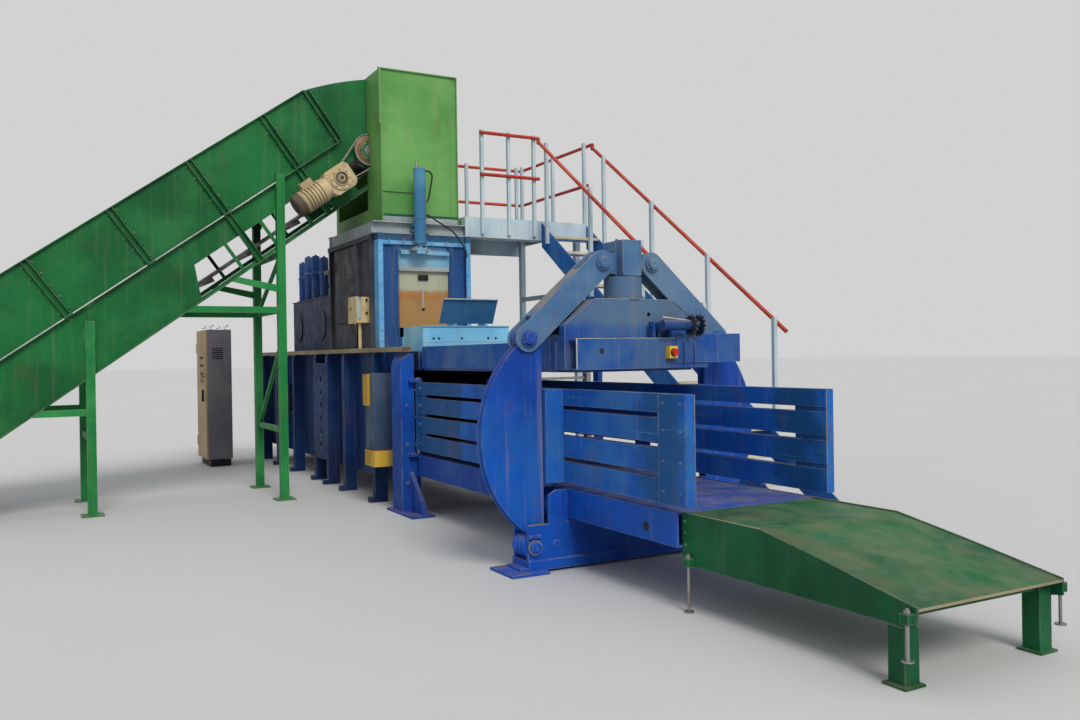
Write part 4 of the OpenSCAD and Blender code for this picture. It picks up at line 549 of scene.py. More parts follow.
WORN_BLUE = Paint("worn_blue", (14, 84, 182), (38, 104, 172), (8, 60, 150), edge=0.4)
WALL_BLUE = Paint("wall_blue", (20, 98, 192), (58, 116, 168), (14, 76, 160), scratches=0.7, rust=0.12,
    streaks=0.15, bands=(Band("X", 1.50, 1.90, (22, 78, 134), ragged=0.10),
    Band("X", -3.2, -1.5, (22, 76, 132), ragged=0.06)))
BED_BLUE = Paint("bed_blue", (8, 80, 178), (26, 88, 158), (6, 54, 142), dust=0.32, streaks=0.10, rust=0.05)
LID_BLUE = Paint("lid_blue", (38, 100, 150), (76, 128, 162), (22, 82, 138), streaks=0.12, rust=0.02)
PRESS_BLUE = Paint("press_frame_blue", (12, 50, 106), (34, 66, 108), (8, 36, 78), dust=0.6, streaks=0.14,
    rust=0.06)
HEAD_BLUE = Paint("weathered_blue", (8, 84, 166), (84, 112, 140), (8, 66, 144), fade_heights=(1.77, 1.90),
    dust=0.45, rust=0.08, edge=0.6, streaks=0.22)
LINK_BLUE = Paint("link_blue", (80, 118, 156), (110, 134, 154), (62, 102, 148), dust=0.7, rust=0.12,
    edge=0.8, run=Run.ACROSS, streaks=0.25)
LIGHT_BLUE = Paint("light_blue", (106, 176, 224), (148, 194, 216), (86, 156, 208), rust=0.12, streaks=0.2)
# Gate paint with painted shade: the Y bands paint shade into the recesses beside the blade, below 2.90 m,
# and the Z band paints the shadow across the top of the gate's top beam, under the hood.
GATE_BLUE = Paint("gate_blue", (106, 176, 224), (148, 194, 216), (86, 156, 208), rust=0.12, streaks=0.2,
    bands=(Band("Y", 0.290, 0.520, (36, 80, 136), mirrored=True, under=2.90),
    Band("Z", 2.948, 3.10, (40, 84, 122))))
CYLINDER_BLUE = Paint("cylinder_blue", (74, 134, 172), (104, 158, 186), (56, 112, 152), rust=0.08,
    streaks=0.15, gloss=0.3)
BLADE_PAINT = Paint("blade_paint", (112, 176, 206), (150, 190, 204), (92, 158, 196), rust=0.16,
    bands=(Band("Z", 1.5, 2.62, (174, 176, 152), ragged=0.004),
    Band("Z", 1.5, 2.44, (170, 130, 80), ragged=0.02),
    Band("Z", 2.400, 2.445, (176, 108, 54), ragged=0.04)))
BOX_BLUE = Paint("service_blue", (132, 204, 238), (166, 214, 230), (112, 184, 222), rust=0.1, dust=0.2)
SHAFT_GREY = Paint("shaft_grey", (60, 62, 72), (80, 82, 90), (44, 46, 56), streaks=0.2, rust=0.1,
    run=Run.UPRIGHT)
CONVEYOR_GREEN = Paint("conveyor_green", (12, 106, 50), (44, 124, 66), (8, 84, 42), rust=0.05, dust=0.5,
    streaks=0.12)
LEG_GREEN = Paint("leg_green", (26, 132, 62), (64, 148, 84), (18, 112, 54), rust=0.05, dust=0.4,
    streaks=0.1)
HOOD_GREEN = Paint("hood_green", (102, 162, 86), (122, 172, 98), (84, 144, 74), rust=0.1, scratches=0.15,
    run=Run.UPRIGHT)
RAMP_GREEN = Paint("ramp_green", (4, 98, 52), (18, 104, 62), (3, 70, 40), rust=0.04, streaks=0.08,
    scratches=0.12, dust=0.2)
CASE_BLUE = Paint("case_blue", (66, 88, 116), (88, 106, 126), (50, 70, 98), streaks=0.2, rust=0.08)
BEAM_GREY = Paint("beam_grey", (166, 178, 180), (190, 194, 190), (138, 152, 158), streaks=0.45, rust=0.2)
GREY_PAINT = Paint("grey_paint", (136, 140, 140), (160, 160, 152), (112, 120, 122), streaks=0.4)
GEAR_GREY = Paint("gear_grey", (196, 178, 138), (212, 194, 152), (156, 138, 100), streaks=0.5, rust=0.3)
CABINET_GREY = Paint("cabinet_grey", (172, 146, 106), (188, 162, 118), (152, 128, 94), scratches=0.1,
    rust=0.05, streaks=0.15)
TANK_BLUE = Paint("tank_blue", (20, 42, 84), (40, 62, 98), (14, 32, 68), dust=0.5, streaks=0.12, rust=0.05)
MOTOR_BLUE = Paint("motor_blue", (38, 82, 150), (78, 112, 156), (28, 64, 128), dust=0.6, streaks=0.15,
    rust=0.06)
TRAY_BEIGE = Paint("tray_beige", (150, 134, 100), (172, 158, 122), (124, 110, 82), dust=0.6)
GUARD_YELLOW = Paint("guard_yellow", (206, 164, 44), (216, 184, 90), (176, 134, 30), rust=0.2)
RAIL_RED = Paint("rail_red", (196, 60, 42), (204, 96, 76), (168, 44, 32), rust=0.1)
DARK_PAINT = Paint("dark_paint", (30, 46, 70), (58, 70, 88), (20, 30, 46), dust=0.5, rust=0.25)
# White paint, worn and scratched; the fold strips and the front beam's edge strips in it are painted
# highlight.
WHITE_LINE = Paint("worn_white", (196, 200, 196), (214, 214, 208), (160, 168, 166), streaks=0.6, rust=0.3,
    scratches=0.6)
COWL_BROWN = Paint("cowl_brown", (92, 80, 66), (128, 112, 88), (62, 54, 46), dust=0.6, rust=0.3)
CABINET_SLATE = Paint("cabinet_slate", (116, 114, 122), (130, 128, 130), (102, 100, 108), scratches=0.1,
    rust=0.05, streaks=0.12, bands=(Band("Z", -0.1, 0.108, (30, 30, 34)),))
WORN_STEEL = Steel("worn_steel")
BOLT_STEEL = Steel("bolt_steel", (128, 128, 124), (88, 66, 46), stained=0.6, gloss=0.4)
BRIGHT_STEEL = Steel("bright_steel", (196, 198, 200), stained=0.25, gloss=0.24)
RUSTY_STEEL = Steel("rusty_steel", (138, 108, 72), (92, 66, 42), stained=0.7, gloss=0.5)
CHAIN_STEEL = Steel("chain_steel", (150, 146, 134), (60, 50, 40), stained=0.5, gloss=0.4)
BELT_RUBBER = Rubber("belt_rubber")
BOX_WHITE = Plastic("box_white", (210, 186, 138), dirty=0.4)
DARK_PLASTIC = Plastic("dark_plastic", (34, 34, 36), (96, 88, 74), dirty=0.5)
BUTTON_RED = Plastic("button_red", (196, 36, 28), dirty=0.15)
STOP_YELLOW = Paint("stop_yellow", (232, 180, 38), (236, 194, 70), (214, 156, 30), streaks=0.1, rust=0.04,
    scratches=0.1, bands=(Band("Z", 1.70, 3.0, (24, 74, 142)),))
ARM_BLUE = Paint("arm_blue", (26, 74, 136), (62, 98, 140), (18, 56, 112), streaks=0.2, rust=0.1)
STAIR_BLUE = Paint("stair_blue", (44, 112, 186), (82, 140, 190), (30, 92, 168), streaks=0.15, rust=0.06)
PALE_STEEL = Paint("pale_steel", (188, 206, 214), (206, 216, 218), (164, 186, 198), streaks=0.25, rust=0.08)
CREAM_EDGE = Paint("cream_edge", (214, 204, 168), (222, 216, 188), (190, 178, 140), streaks=0.3, rust=0.1)

NODE_FINISHES = {
    PRESS_BLUE: ("press_frame", "main_cylinder", "ram"),
    BED_BLUE: ("channel_bed", "squeeze_base", "hinge_posts", "needle_rails"),
    WALL_BLUE: ("side_wall_near", "side_wall_far"),
    WORN_BLUE: ("lever_near", "lever_far"),
    STAIR_BLUE: ("stairs",),
    LID_BLUE: ("service_lid",),
    HEAD_BLUE: ("top_plate", "squeeze_cylinder"),
    LINK_BLUE: ("link_near", "link_far", "crosshead"),
    CYLINDER_BLUE: ("tamper_cylinder",),
    GATE_BLUE: ("gate_frame",),
    BLADE_PAINT: ("tamper",),
    BOX_BLUE: ("service_box",),
    SHAFT_GREY: ("hopper", "hopper_door"),
    CONVEYOR_GREEN: ("conveyor_frame",),
    LEG_GREEN: ("conveyor_legs",),
    HOOD_GREEN: ("hood", "hood_door"),
    RAMP_GREEN: ("ramp",),
    BEAM_GREY: ("platform_beam",),
    PALE_STEEL: ("platform", "rail_posts"),
    GREY_PAINT: ("valve_block",),
    CASE_BLUE: ("twister_case",),
    GEAR_GREY: ("gearmotor",),
    CABINET_GREY: ("cabinet_door",),
    CABINET_SLATE: ("cabinet",),
    TANK_BLUE: ("oil_tank",),
    MOTOR_BLUE: ("pump_motor",),
    TRAY_BEIGE: ("cable_tray",),
    GUARD_YELLOW: ("wire_guards",),
    RAIL_RED: ("handrails",),
    DARK_PAINT: ("star_wheel",),
    ARM_BLUE: ("star_arm",),
    WORN_STEEL: ("chamber_liner", "shear_bar", "wall_hinge_pins", "base_pins", "twisters",
        "needle_carriage", "head_pulley", "tail_pulley", "jack_screws", "hydraulic_pipes"),
    BRIGHT_STEEL: ("main_rod",),
    BELT_RUBBER: ("conveyor_belt",),
    BOX_WHITE: ("junction_box",),
    BUTTON_RED: ("estop_button",),
    DARK_PLASTIC: ("cabinet_buttons",),
    STOP_YELLOW: ("estop_box",),
}


@dataclass
class PaintShop:
    """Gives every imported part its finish."""

    built: dict[str, bpy.types.Material] = field(default_factory=dict)

    def material(self, finish: Finish) -> bpy.types.Material:
        """Hand out a finish's material, built once.

        Args:
            finish: The finish.

        Returns:
            Its material.
        """
        if finish.name not in self.built:
            self.built[finish.name] = finish.build()
        return self.built[finish.name]

    def dress(self) -> None:
        """Put each finish into the slots of its parts."""
        for finish, names in NODE_FINISHES.items():
            for name in names:
                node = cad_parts[name]
                if not node.material_slots:
                    node.data.materials.append(None)
                for slot in node.material_slots:
                    slot.material = self.material(finish)
                LOG.info("%s wears %s", name, finish.name)


def aim(at: Spot | Vector, axis: Spot | Vector) -> Matrix:
    """Stand the Z axis along another axis at a point.

    Args:
        at: The point.
        axis: The direction.

    Returns:
        The matrix.
    """
    return Matrix.Translation(at) @ Vector(axis).to_track_quat("Z", "Y").to_matrix().to_4x4()


@dataclass(frozen=True)
class Go:
    """A straight stretch of a pipe."""

    length: float


@dataclass(frozen=True)
class Turn:
    """A bend of a pipe, towards a direction square to the way it runs."""

    degrees: float
    radius: float
    towards: Spot


class Fitting:
    """One piece of hardware: shapes gathered in a mesh that rides on a body."""

    def __init__(self, name: str, body: str, material: bpy.types.Material, place: Matrix | None) -> None:
        """Start an empty piece.

        Args:
            name: Name of the piece.
            body: Body that it rides on.
            material: Its material.
            place: Matrix from the piece's own frame to the model's.
        """
        self.name, self.body, self.material = name, body, material
        self.place = place or Matrix.Identity(4)
        self.mesh = bmesh.new()

    def grow(self, face: bmesh.types.BMFace, keep: bool) -> Grown:
        """Extrude one face.

        Args:
            face: The face.
            keep: Whether it stays, as the foot of the shape.

        Returns:
            The new end face and its vertices, still where the old ones are.
        """
        made = bmesh.ops.extrude_face_region(self.mesh, geom=[face])["geom"]
        if not keep:
            bmesh.ops.delete(self.mesh, geom=[face], context="FACES_ONLY")
        verts = [item for item in made if isinstance(item, bmesh.types.BMVert)]
        return next(item for item in made if isinstance(item, bmesh.types.BMFace)), verts

    def turned(self, at: Spot, axis: Spot, steps: tuple[tuple[float, float], ...], sides: int = 20) -> None:
        """Add a turned shape.

        Args:
            at: Centre of its foot.
            axis: The way that it stands.
            steps: Radius and height of each circle, from the foot up.
            sides: Sides of the circles.
        """
        spot = aim(at, axis)
        radius, height = steps[0]
        made = bmesh.ops.create_circle(self.mesh, cap_ends=True, segments=sides, radius=radius,
            matrix=spot @ Matrix.Translation((0, 0, height)))
        face = made["verts"][0].link_faces[0]
        for index, (wide, high) in enumerate(steps[1:]):
            face, verts = self.grow(face, index == 0)
            bmesh.ops.translate(self.mesh, verts=verts, vec=spot.to_3x3() @ Vector((0, 0, high - height)))
            bmesh.ops.scale(self.mesh, verts=verts, vec=(wide / radius,) * 3,
                space=(spot @ Matrix.Translation((0, 0, high))).inverted())
            radius, height = wide, high

    def slab(self, low: Spot, high: Spot, bevel: float = 0.002, turn: Matrix | None = None) -> None:
        """Add a plate or bar with rounded edges.

        Args:
            low: Its lowest corner.
            high: Its highest corner.
            bevel: Width of the rounding.
            turn: Matrix that places it, where it doesn't stand square.
        """
        size = Vector(high) - Vector(low)
        place = Matrix.Translation((Vector(high) + Vector(low)) / 2) @ Matrix.Diagonal((*size, 1.0))
        made = bmesh.ops.create_cube(self.mesh, size=1.0, matrix=turn @ place if turn else place)
        edges = {edge for vert in made["verts"] for edge in vert.link_edges}
        bmesh.ops.bevel(self.mesh, geom=list(edges), affect="EDGES", offset=bevel, segments=2, profile=0.5,
            material=-1)

    def bolt(self, at: Spot, axis: Spot, across: float = 0.03) -> None:
        """Add a washer with a hexagon head.

        Args:
            at: Point on the surface.
            axis: The way that the head looks.
            across: Width of the hexagon.
        """
        wide = across * HEX_RADIUS
        self.turned(at, axis, ((across * 0.78, 0.0), (across * 0.78, across * 0.12),
            (across * 0.7, across * 0.16)), 14)
        self.turned(at, axis, ((wide, across * 0.15), (wide, across * 0.62), (wide * 0.86, across * 0.74)),
            6)

    def bolts(self, start: Spot, end: Spot, count: int, axis: Spot, across: float = 0.03) -> None:
        """Add a straight row of bolts.

        Args:
            start: First point.
            end: Last point.
            count: How many.
            axis: The way that the heads look.
            across: Width of the hexagons.
        """
        for index in range(count):
            self.bolt(Vector(start).lerp(Vector(end), index / max(count - 1, 1)), axis, across)

    def ring(self, centre: Spot, axis: Spot, radius: float, count: int, across: float,
            start: float = 0.0) -> None:
        """Add a circle of bolts.

        Args:
            centre: Centre of the circle.
            axis: The way that the heads look: up, or along X.
            radius: Radius of the circle.
            count: How many.
            across: Width of the hexagons.
            start: Where the first one stands, in degrees.
        """
        first, second = (Vector(AHEAD), Vector(FAR)) if axis == UP else (Vector(FAR), Vector(UP))
        for index in range(count):
            angle = math.radians(start + index * 360 / count)
            spot = Vector(centre) + (first * math.cos(angle) + second * math.sin(angle)) * radius
            self.bolt(spot, axis, across)

    def pipe(self, at: Spot, heading: Spot, radius: float, moves: tuple[Go | Turn, ...],
            sides: int = 12) -> None:
        """Add a round bar or pipe along straight stretches and bends.

        Args:
            at: Where it starts.
            heading: The way that it sets off.
            radius: Its radius.
            moves: Stretches and bends in order.
            sides: Sides of its section.
        """
        spot, way = Vector(at), Vector(heading).normalized()
        made = bmesh.ops.create_circle(self.mesh, cap_ends=True, segments=sides, radius=radius,
            matrix=aim(spot, way))
        face = made["verts"][0].link_faces[0]
        first = True
        for move in moves:
            parts = 1 if isinstance(move, Go) else max(2, round(move.degrees / BEND_STEP))
            for _ in range(parts):
                face, verts = self.grow(face, first)
                first = False
                if isinstance(move, Go):
                    spot = spot + way * move.length
                    bmesh.ops.translate(self.mesh, verts=verts, vec=way * move.length)
                    continue
                inward = Vector(move.towards) - way * way.dot(Vector(move.towards))
                centre = spot + inward.normalized() * move.radius
                turn = Matrix.Rotation(math.radians(move.degrees / parts), 3,
                    way.cross(inward).normalized())
                bmesh.ops.rotate(self.mesh, verts=verts, cent=centre, matrix=turn)
                spot = centre + turn @ (spot - centre)
                way = turn @ way

    def weld(self, start: Spot, end: Spot, radius: float = 0.006) -> None:
        """Add a weld bead with its ripples.

        Args:
            start: Where it starts.
            end: Where it ends.
            radius: Half its width.
        """
        way = Vector(end) - Vector(start)
        count = max(2, int(way.length / (radius * 2.4)))
        steps = [(radius * 0.5, 0.0)]
        for index in range(1, count):
            steps.append((radius * (1.0 if index % 2 else 0.84), way.length * index / count))
        self.turned(start, way, (*steps, (radius * 0.5, way.length)), 7)

    def hand_over(self) -> int:
        """Make the object and let it ride.

        Returns:
            How many faces it has.
        """
        bmesh.ops.transform(self.mesh, matrix=self.place, verts=self.mesh.verts)
        bmesh.ops.recalc_face_normals(self.mesh, faces=self.mesh.faces)
        data = bpy.data.meshes.new(self.name)
        self.mesh.to_mesh(data)
        self.mesh.free()
        data.polygons.foreach_set("use_smooth", [True] * len(data.polygons))
        data.set_sharp_from_angle(angle=SHARP_EDGE)
        data.materials.append(self.material)
        piece = bpy.data.objects.new(self.name, data)
        bpy.context.scene.collection.objects.link(piece)
        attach(piece, self.body)
        return len(data.polygons)


@dataclass(frozen=True)
class Hardware:
    """The fittings of one sub-assembly."""

    shop: PaintShop
    pieces: list[Fitting] = field(default_factory=list)

    def piece(self, name: str, finish: Finish, body: str = "frame", place: Matrix | None = None) -> Fitting:
        """Begin a piece.

        Args:
            name: Name of the piece.
            finish: Its finish.
            body: Body that it rides on.
            place: Matrix from the piece's own frame to the model's.

        Returns:
            The empty piece.
        """
        self.pieces.append(Fitting(name, body, self.shop.material(finish), place))
        return self.pieces[-1]

    def shape(self) -> None:
        """Shape every piece; each sub-assembly has its own way."""
        raise NotImplementedError

    def build(self) -> None:
        """Shape all the pieces, let them ride and log each one."""
        self.shape()
        for piece in self.pieces:
            LOG.info("%s rides on %s: %d faces", piece.name, piece.body, piece.hand_over())


@dataclass(frozen=True)
class SqueezeHardware(Hardware):
    """Pin caps, keepers, bolts and worn edges of the squeeze frame."""

    mid_x: float = 0.075
    pin_y: float = 0.888
    low_z: float = 0.19
    top_z: float = 1.722
    head_pin: tuple[float, float] = (0.23, 2.303)
    base_face: float = 0.214
    lever_face: float = 0.176
    head_face: float = 0.170
    box_face: float = 0.240
    beam_face: float = 0.360

    def cap(self, piece: Fitting, at: Spot, radius: float) -> None:
        """Add the domed cap and the keeper of a pin.

        Args:
            piece: The piece that takes it.
            at: Centre of the pin's end.
            radius: Radius of the pin's end.
        """
        piece.turned(at, AHEAD, ((radius * 0.8, 0.0), (radius * 0.8, 0.010), (radius * 0.72, 0.022),
            (radius * 0.5, 0.027), (radius * 0.2, 0.027), (radius * 0.16, 0.022)), 28)
        piece.ring(at, AHEAD, radius * 0.84, 3, radius * 0.2, 90)

    def pins(self) -> None:
        """Build the caps on the frame, the levers and the crosshead."""
        for side, tag in TAGS:
            piece = self.piece(f"lever_cap_{tag}", WORN_BLUE, f"lever_{tag}")
            self.cap(piece, (self.lever_face, side * self.pin_y, self.top_z), 0.061)
            piece.turned((self.mid_x + 0.045, side * self.pin_y, self.top_z), AHEAD,
                ((0.086, 0.0), (0.086, 0.005), (0.082, 0.007)), 32)
            for z in (self.low_z + 0.12, self.top_z - 0.12):
                piece.weld((self.mid_x + 0.046, side * self.pin_y - 0.03, z),
                    (self.mid_x + 0.046, side * self.pin_y + 0.03, z))
        piece = self.piece("head_pin_caps", LINK_BLUE, "crosshead")
        for side in SIDES:
            self.cap(piece, (self.head_face, side * self.head_pin[0], self.head_pin[1]), 0.059)
        piece = self.piece("foot_pin_caps", BED_BLUE)
        for side in SIDES:
            self.cap(piece, (self.base_face, side * self.pin_y, self.low_z), 0.057)
            piece.slab((self.base_face - 0.024, side * self.pin_y - 0.05, self.low_z + 0.066),
                (self.base_face - 0.010, side * self.pin_y + 0.05, self.low_z + 0.094))
            for y in (-0.034, 0.034):
                piece.bolt((self.base_face - 0.010, side * self.pin_y + y, self.low_z + 0.080), AHEAD, 0.02)

    def foot(self) -> None:
        """Build the worn top edge and the weld beads of the foot beam."""
        face = self.mid_x + 0.115
        edge = self.piece("foot_beam_edge", TRAY_BEIGE)
        for start, end in ((-0.93, -0.765), (-0.475, 0.475)):
            edge.slab((face - 0.020, start, 0.3502), (face + 0.003, end, 0.3535), 0.001)
        beads = self.piece("foot_welds", BED_BLUE)
        for y in (-0.94, 0.46):
            beads.weld((face + 0.002, y, 0.09), (face + 0.002, y + 0.48, 0.09))
        for side in SIDES:
            beads.weld((face + 0.001, side * 0.62, 0.352), (face + 0.001, side * 0.48, 0.352))
            beads.turned((face, side * 0.70, 0.20), AHEAD, ((0.030, 0.0), (0.030, 0.006), (0.026, 0.009)))

    def head(self) -> None:
        """Build the painted highlights on the edges of the head box and front beam, and their flanges,
        bolts and plugs.
        """
        # White strips on the front beam's top edge and left end and on the head box's top edge: painted
        # highlight.
        line = self.piece("beam_edge_painted_highlight", WHITE_LINE, "top_plate")
        line.slab((self.beam_face - 0.016, -0.604, 1.7146), (self.beam_face + 0.003, 0.604, 1.7185), 0.001)
        line.slab((self.beam_face - 0.001, -0.606, 1.49), (self.beam_face + 0.0025, -0.598, 1.714), 0.001)
        line.slab((self.box_face - 0.012, -0.361, 2.0185), (self.box_face + 0.0025, 0.361, 2.0215), 0.001)
        steel = self.piece("head_bolts", BOLT_STEEL, "top_plate")
        steel.ring((self.mid_x, 0, 2.031), UP, 0.158, 12, 0.02, 15)
        for y in (-0.62, 0.62):
            steel.bolts((self.box_face - 0.30, y * 0.999, 1.50), (self.box_face - 0.03, y * 0.999, 1.50), 2,
                (0, y, 0), 0.024)
        ring = self.piece("barrel_flange", HEAD_BLUE, "top_plate")
        ring.turned((self.mid_x, 0, 2.0192), UP, ((0.178, 0.0), (0.178, 0.010), (0.174, 0.013)), 48)
        ring.turned((self.mid_x, 0, 2.1985), UP, ((0.120, 0.0), (0.120, 0.004), (0.100, 0.0065)), 40)
        for side in SIDES:
            ring.weld((self.box_face + 0.001, side * 0.632, 1.49),
                (self.box_face + 0.001, side * 0.632, 1.81))
            ring.weld((self.box_face + 0.001, side * 0.625, 1.818),
                (self.box_face + 0.001, side * 0.365, 2.014))
        spot = self.piece("beam_plug", DARK_PLASTIC, "top_plate")
        spot.turned((self.beam_face, -0.385, 1.625), AHEAD, ((0.020, 0.0), (0.020, 0.004), (0.016, 0.006)))
        spot.turned((self.beam_face + 0.055, 0.235, 1.607), AHEAD,
            ((0.031, 0.0), (0.031, 0.003), (0.028, 0.005)))

    def crown(self) -> None:
        """Build the seams and the screws of the crosshead."""
        piece = self.piece("crosshead_welds", LINK_BLUE, "crosshead")
        front = self.mid_x + 0.134
        for side in SIDES:
            piece.weld((front + 0.001, side * 0.083, 2.215), (front + 0.001, side * 0.083, 2.475))
            piece.turned((self.mid_x, side * 0.05, 2.4832), UP,
                ((0.014, 0.0), (0.014, 0.012), (0.008, 0.02)), 16)

    def shape(self) -> None:
        """Shape every piece."""
        self.pins()
        self.foot()
        self.head()
        self.crown()


# The feed conveyor's own frame: along its slope, on top of its belt.
SLOPE_FOOT, SLOPE_DEGREES, BELT_TOP = (0, -5.150, 0.709953), 35.7, (0, 0, 0.277)
SLOPE = Matrix.Translation(SLOPE_FOOT) @ Matrix.Rotation(math.radians(SLOPE_DEGREES), 4, "X")
SLOPE = SLOPE @ Matrix.Translation(BELT_TOP)


@dataclass(frozen=True)
class ConveyorHardware(Hardware):
    """Painted highlight along the side plate's fold, bolts, drive chain and gearmotor fittings of the feed
    conveyor, drawn along its slope.
    """

    side_x: float = -4.635
    ribs: tuple[float, ...] = (5.491, 4.882, 3.897, 2.912, 1.927, 0.942, -0.043)
    head: tuple[float, float] = (5.758, -0.277)
    drive: tuple[float, float] = (5.193, -0.359)
    head_r: float = 0.188
    drive_r: float = 0.062
    chain_x: float = -4.561
    pitch: float = 0.0381
    gear_x: float = -4.543

    def lines(self) -> None:
        """Build the painted highlight along the side plate's fold, and the bolts of the ribs."""
        line = self.piece("fold_painted_highlight", WHITE_LINE, place=SLOPE)
        bolts = self.piece("rib_bolts", CONVEYOR_GREEN, place=SLOPE)
        outer = self.side_x + 0.0585
        # White strips along the top of the side plate between the ribs: a painted highlight where the fold
        # catches the light.
        for upper, lower in zip(self.ribs[1:], (*self.ribs[2:], -0.505)):
            line.slab((outer - 0.014, lower + 0.085, -0.0125),
                (outer + 0.002, min(upper, 4.62) - 0.015, 0.0015), 0.001)
        for rib in self.ribs[:-1]:
            for side in (rib - 0.020, rib + 0.090):
                bolts.bolts((self.side_x, side, 0.06), (self.side_x, side, 0.63), 5, AHEAD, 0.02)
            bolts.slab((self.side_x + 0.040, rib, 0.002), (self.side_x + 0.0505, rib + 0.070, 0.008), 0.001)
        for step in range(12):
            bolts.bolt((self.side_x, 0.2 + step * 0.44, -0.05), AHEAD, 0.018)
        strut = self.piece("truss_struts", CONVEYOR_GREEN, place=SLOPE)
        for start in (self.ribs[2], self.ribs[1]):
            for side in (0.0, 0.062):
                strut.slab((self.side_x, start + side, -0.638),
                    (self.side_x + 0.050, start + side + 0.008, -0.012), 0.001)
            strut.slab((self.side_x, start + 0.006, -0.638), (self.side_x + 0.008, start + 0.064, -0.012),
                0.001)

    def loop(self) -> list[tuple[float, float, float]]:
        """Walk the chain's way round both wheels.

        Returns:
            The place along and across the slope and the heading of each link.
        """
        span = Vector(self.head) - Vector(self.drive)
        base = math.atan2(span.y, span.x)
        lean = math.asin((self.head_r - self.drive_r) / span.length)
        straight = span.length * math.cos(lean)
        wrap = ((self.head_r, math.pi + 2 * lean), (self.drive_r, math.pi - 2 * lean))
        total = 2 * straight + sum(radius * angle for radius, angle in wrap)
        count = round(total / self.pitch)
        spots = []
        for index in range(count):
            way = total * index / count
            for centre, (radius, angle), heading in ((self.drive, wrap[1], base - math.pi - lean),
                    (self.head, wrap[0], base + lean)):
                if way < radius * angle:
                    turn = heading - way / radius
                    spots.append((centre[0] - radius * math.sin(turn), centre[1] + radius * math.cos(turn),
                        turn))
                    break
                way -= radius * angle
                end = heading - angle
                if way < straight:
                    spots.append((centre[0] - radius * math.sin(end) + way * math.cos(end),
                        centre[1] + radius * math.cos(end) + way * math.sin(end), end))
                    break
                way -= straight
        return spots

    def chain(self) -> None:
        """Build the roller chain and the small chain wheel."""
        chain = self.piece("drive_chain", CHAIN_STEEL, place=SLOPE)
        for index, (along, across, turn) in enumerate(self.loop()):
            out = 0.010 if index % 2 else 0.007
            spot = Matrix.Translation((self.chain_x, along, across)) @ Matrix.Rotation(turn, 4, "X")
            for x in (-out - 0.0015, out - 0.0015):
                chain.slab((x, -0.023, -0.009), (x + 0.003, 0.023, 0.009), 0.001, spot)
            chain.turned((self.chain_x - 0.011, along, across), AHEAD, ((0.008, 0.0), (0.008, 0.022)), 8)
        wheel = self.piece("drive_wheel", CHAIN_STEEL, place=SLOPE)
        wheel.turned((self.chain_x - 0.006, *self.drive), AHEAD,
            ((0.050, 0.0), (0.052, 0.003), (0.050, 0.012)), 26)

    def gear(self) -> None:
        """Build the bolts, hub and fan cowl of the gearmotor."""
        along, across = self.drive
        hub = self.piece("gear_hub", GEAR_GREY, place=SLOPE)
        face = self.gear_x + 0.210
        hub.turned((face, along, across), AHEAD, ((0.040, -0.004), (0.040, 0.008), (0.030, 0.010),
            (0.026, 0.004)), 28)
        hub.ring((self.gear_x + 0.190, along, across), AHEAD, 0.106, 8, 0.020, 22)
        lug = ((0.030, 0.0), (0.030, 0.022), (0.026, 0.026), (0.012, 0.026), (0.012, 0.018))
        for side, up in ((-1, -1), (-1, 1), (1, -1), (1, 1)):
            hub.turned((self.gear_x + 0.150, along + side * 0.128, across + up * 0.108), AHEAD, lug)
        centre = (self.gear_x + 0.085, along - 0.586, across)
        cowl = self.piece("fan_cowl", COWL_BROWN, place=SLOPE)
        cowl.turned((face, along, across), AHEAD, ((0.074, -0.004), (0.074, 0.003), (0.070, 0.004),
            (0.044, 0.004)), 28)
        cowl.turned(centre, NEAR, ((0.132, -0.060), (0.134, 0.0), (0.130, 0.016), (0.112, 0.028),
            (0.108, 0.022), (0.086, 0.022), (0.082, 0.028), (0.060, 0.028), (0.056, 0.022), (0.034, 0.022),
            (0.030, 0.030)), 32)
        hub.slab((self.gear_x + 0.043, along - 0.439, across + 0.189),
            (self.gear_x + 0.137, along - 0.291, across + 0.197))
        hub.bolts((self.gear_x + 0.055, along - 0.425, across + 0.197),
            (self.gear_x + 0.055, along - 0.305, across + 0.197), 2, UP, 0.012)
        pulley = self.piece("head_wheel_face", RUSTY_STEEL, "head_pulley", place=SLOPE)
        pulley.turned((self.side_x + 0.0820, *self.head), AHEAD,
            ((0.160, 0.0), (0.160, 0.002), (0.158, 0.003), (0.066, 0.003)), 40)
        web = self.piece("head_wheel_web", CONVEYOR_GREEN, "head_pulley", place=SLOPE)
        web.turned((self.side_x + 0.0850, *self.head), AHEAD,
            ((0.104, 0.0), (0.104, 0.001), (0.102, 0.002), (0.067, 0.002)), 32)
        web.ring((self.side_x + 0.085, *self.head), AHEAD, 0.11, 5, 0.022)

    def shape(self) -> None:
        """Shape every piece."""
        self.lines()
        self.chain()
        self.gear()


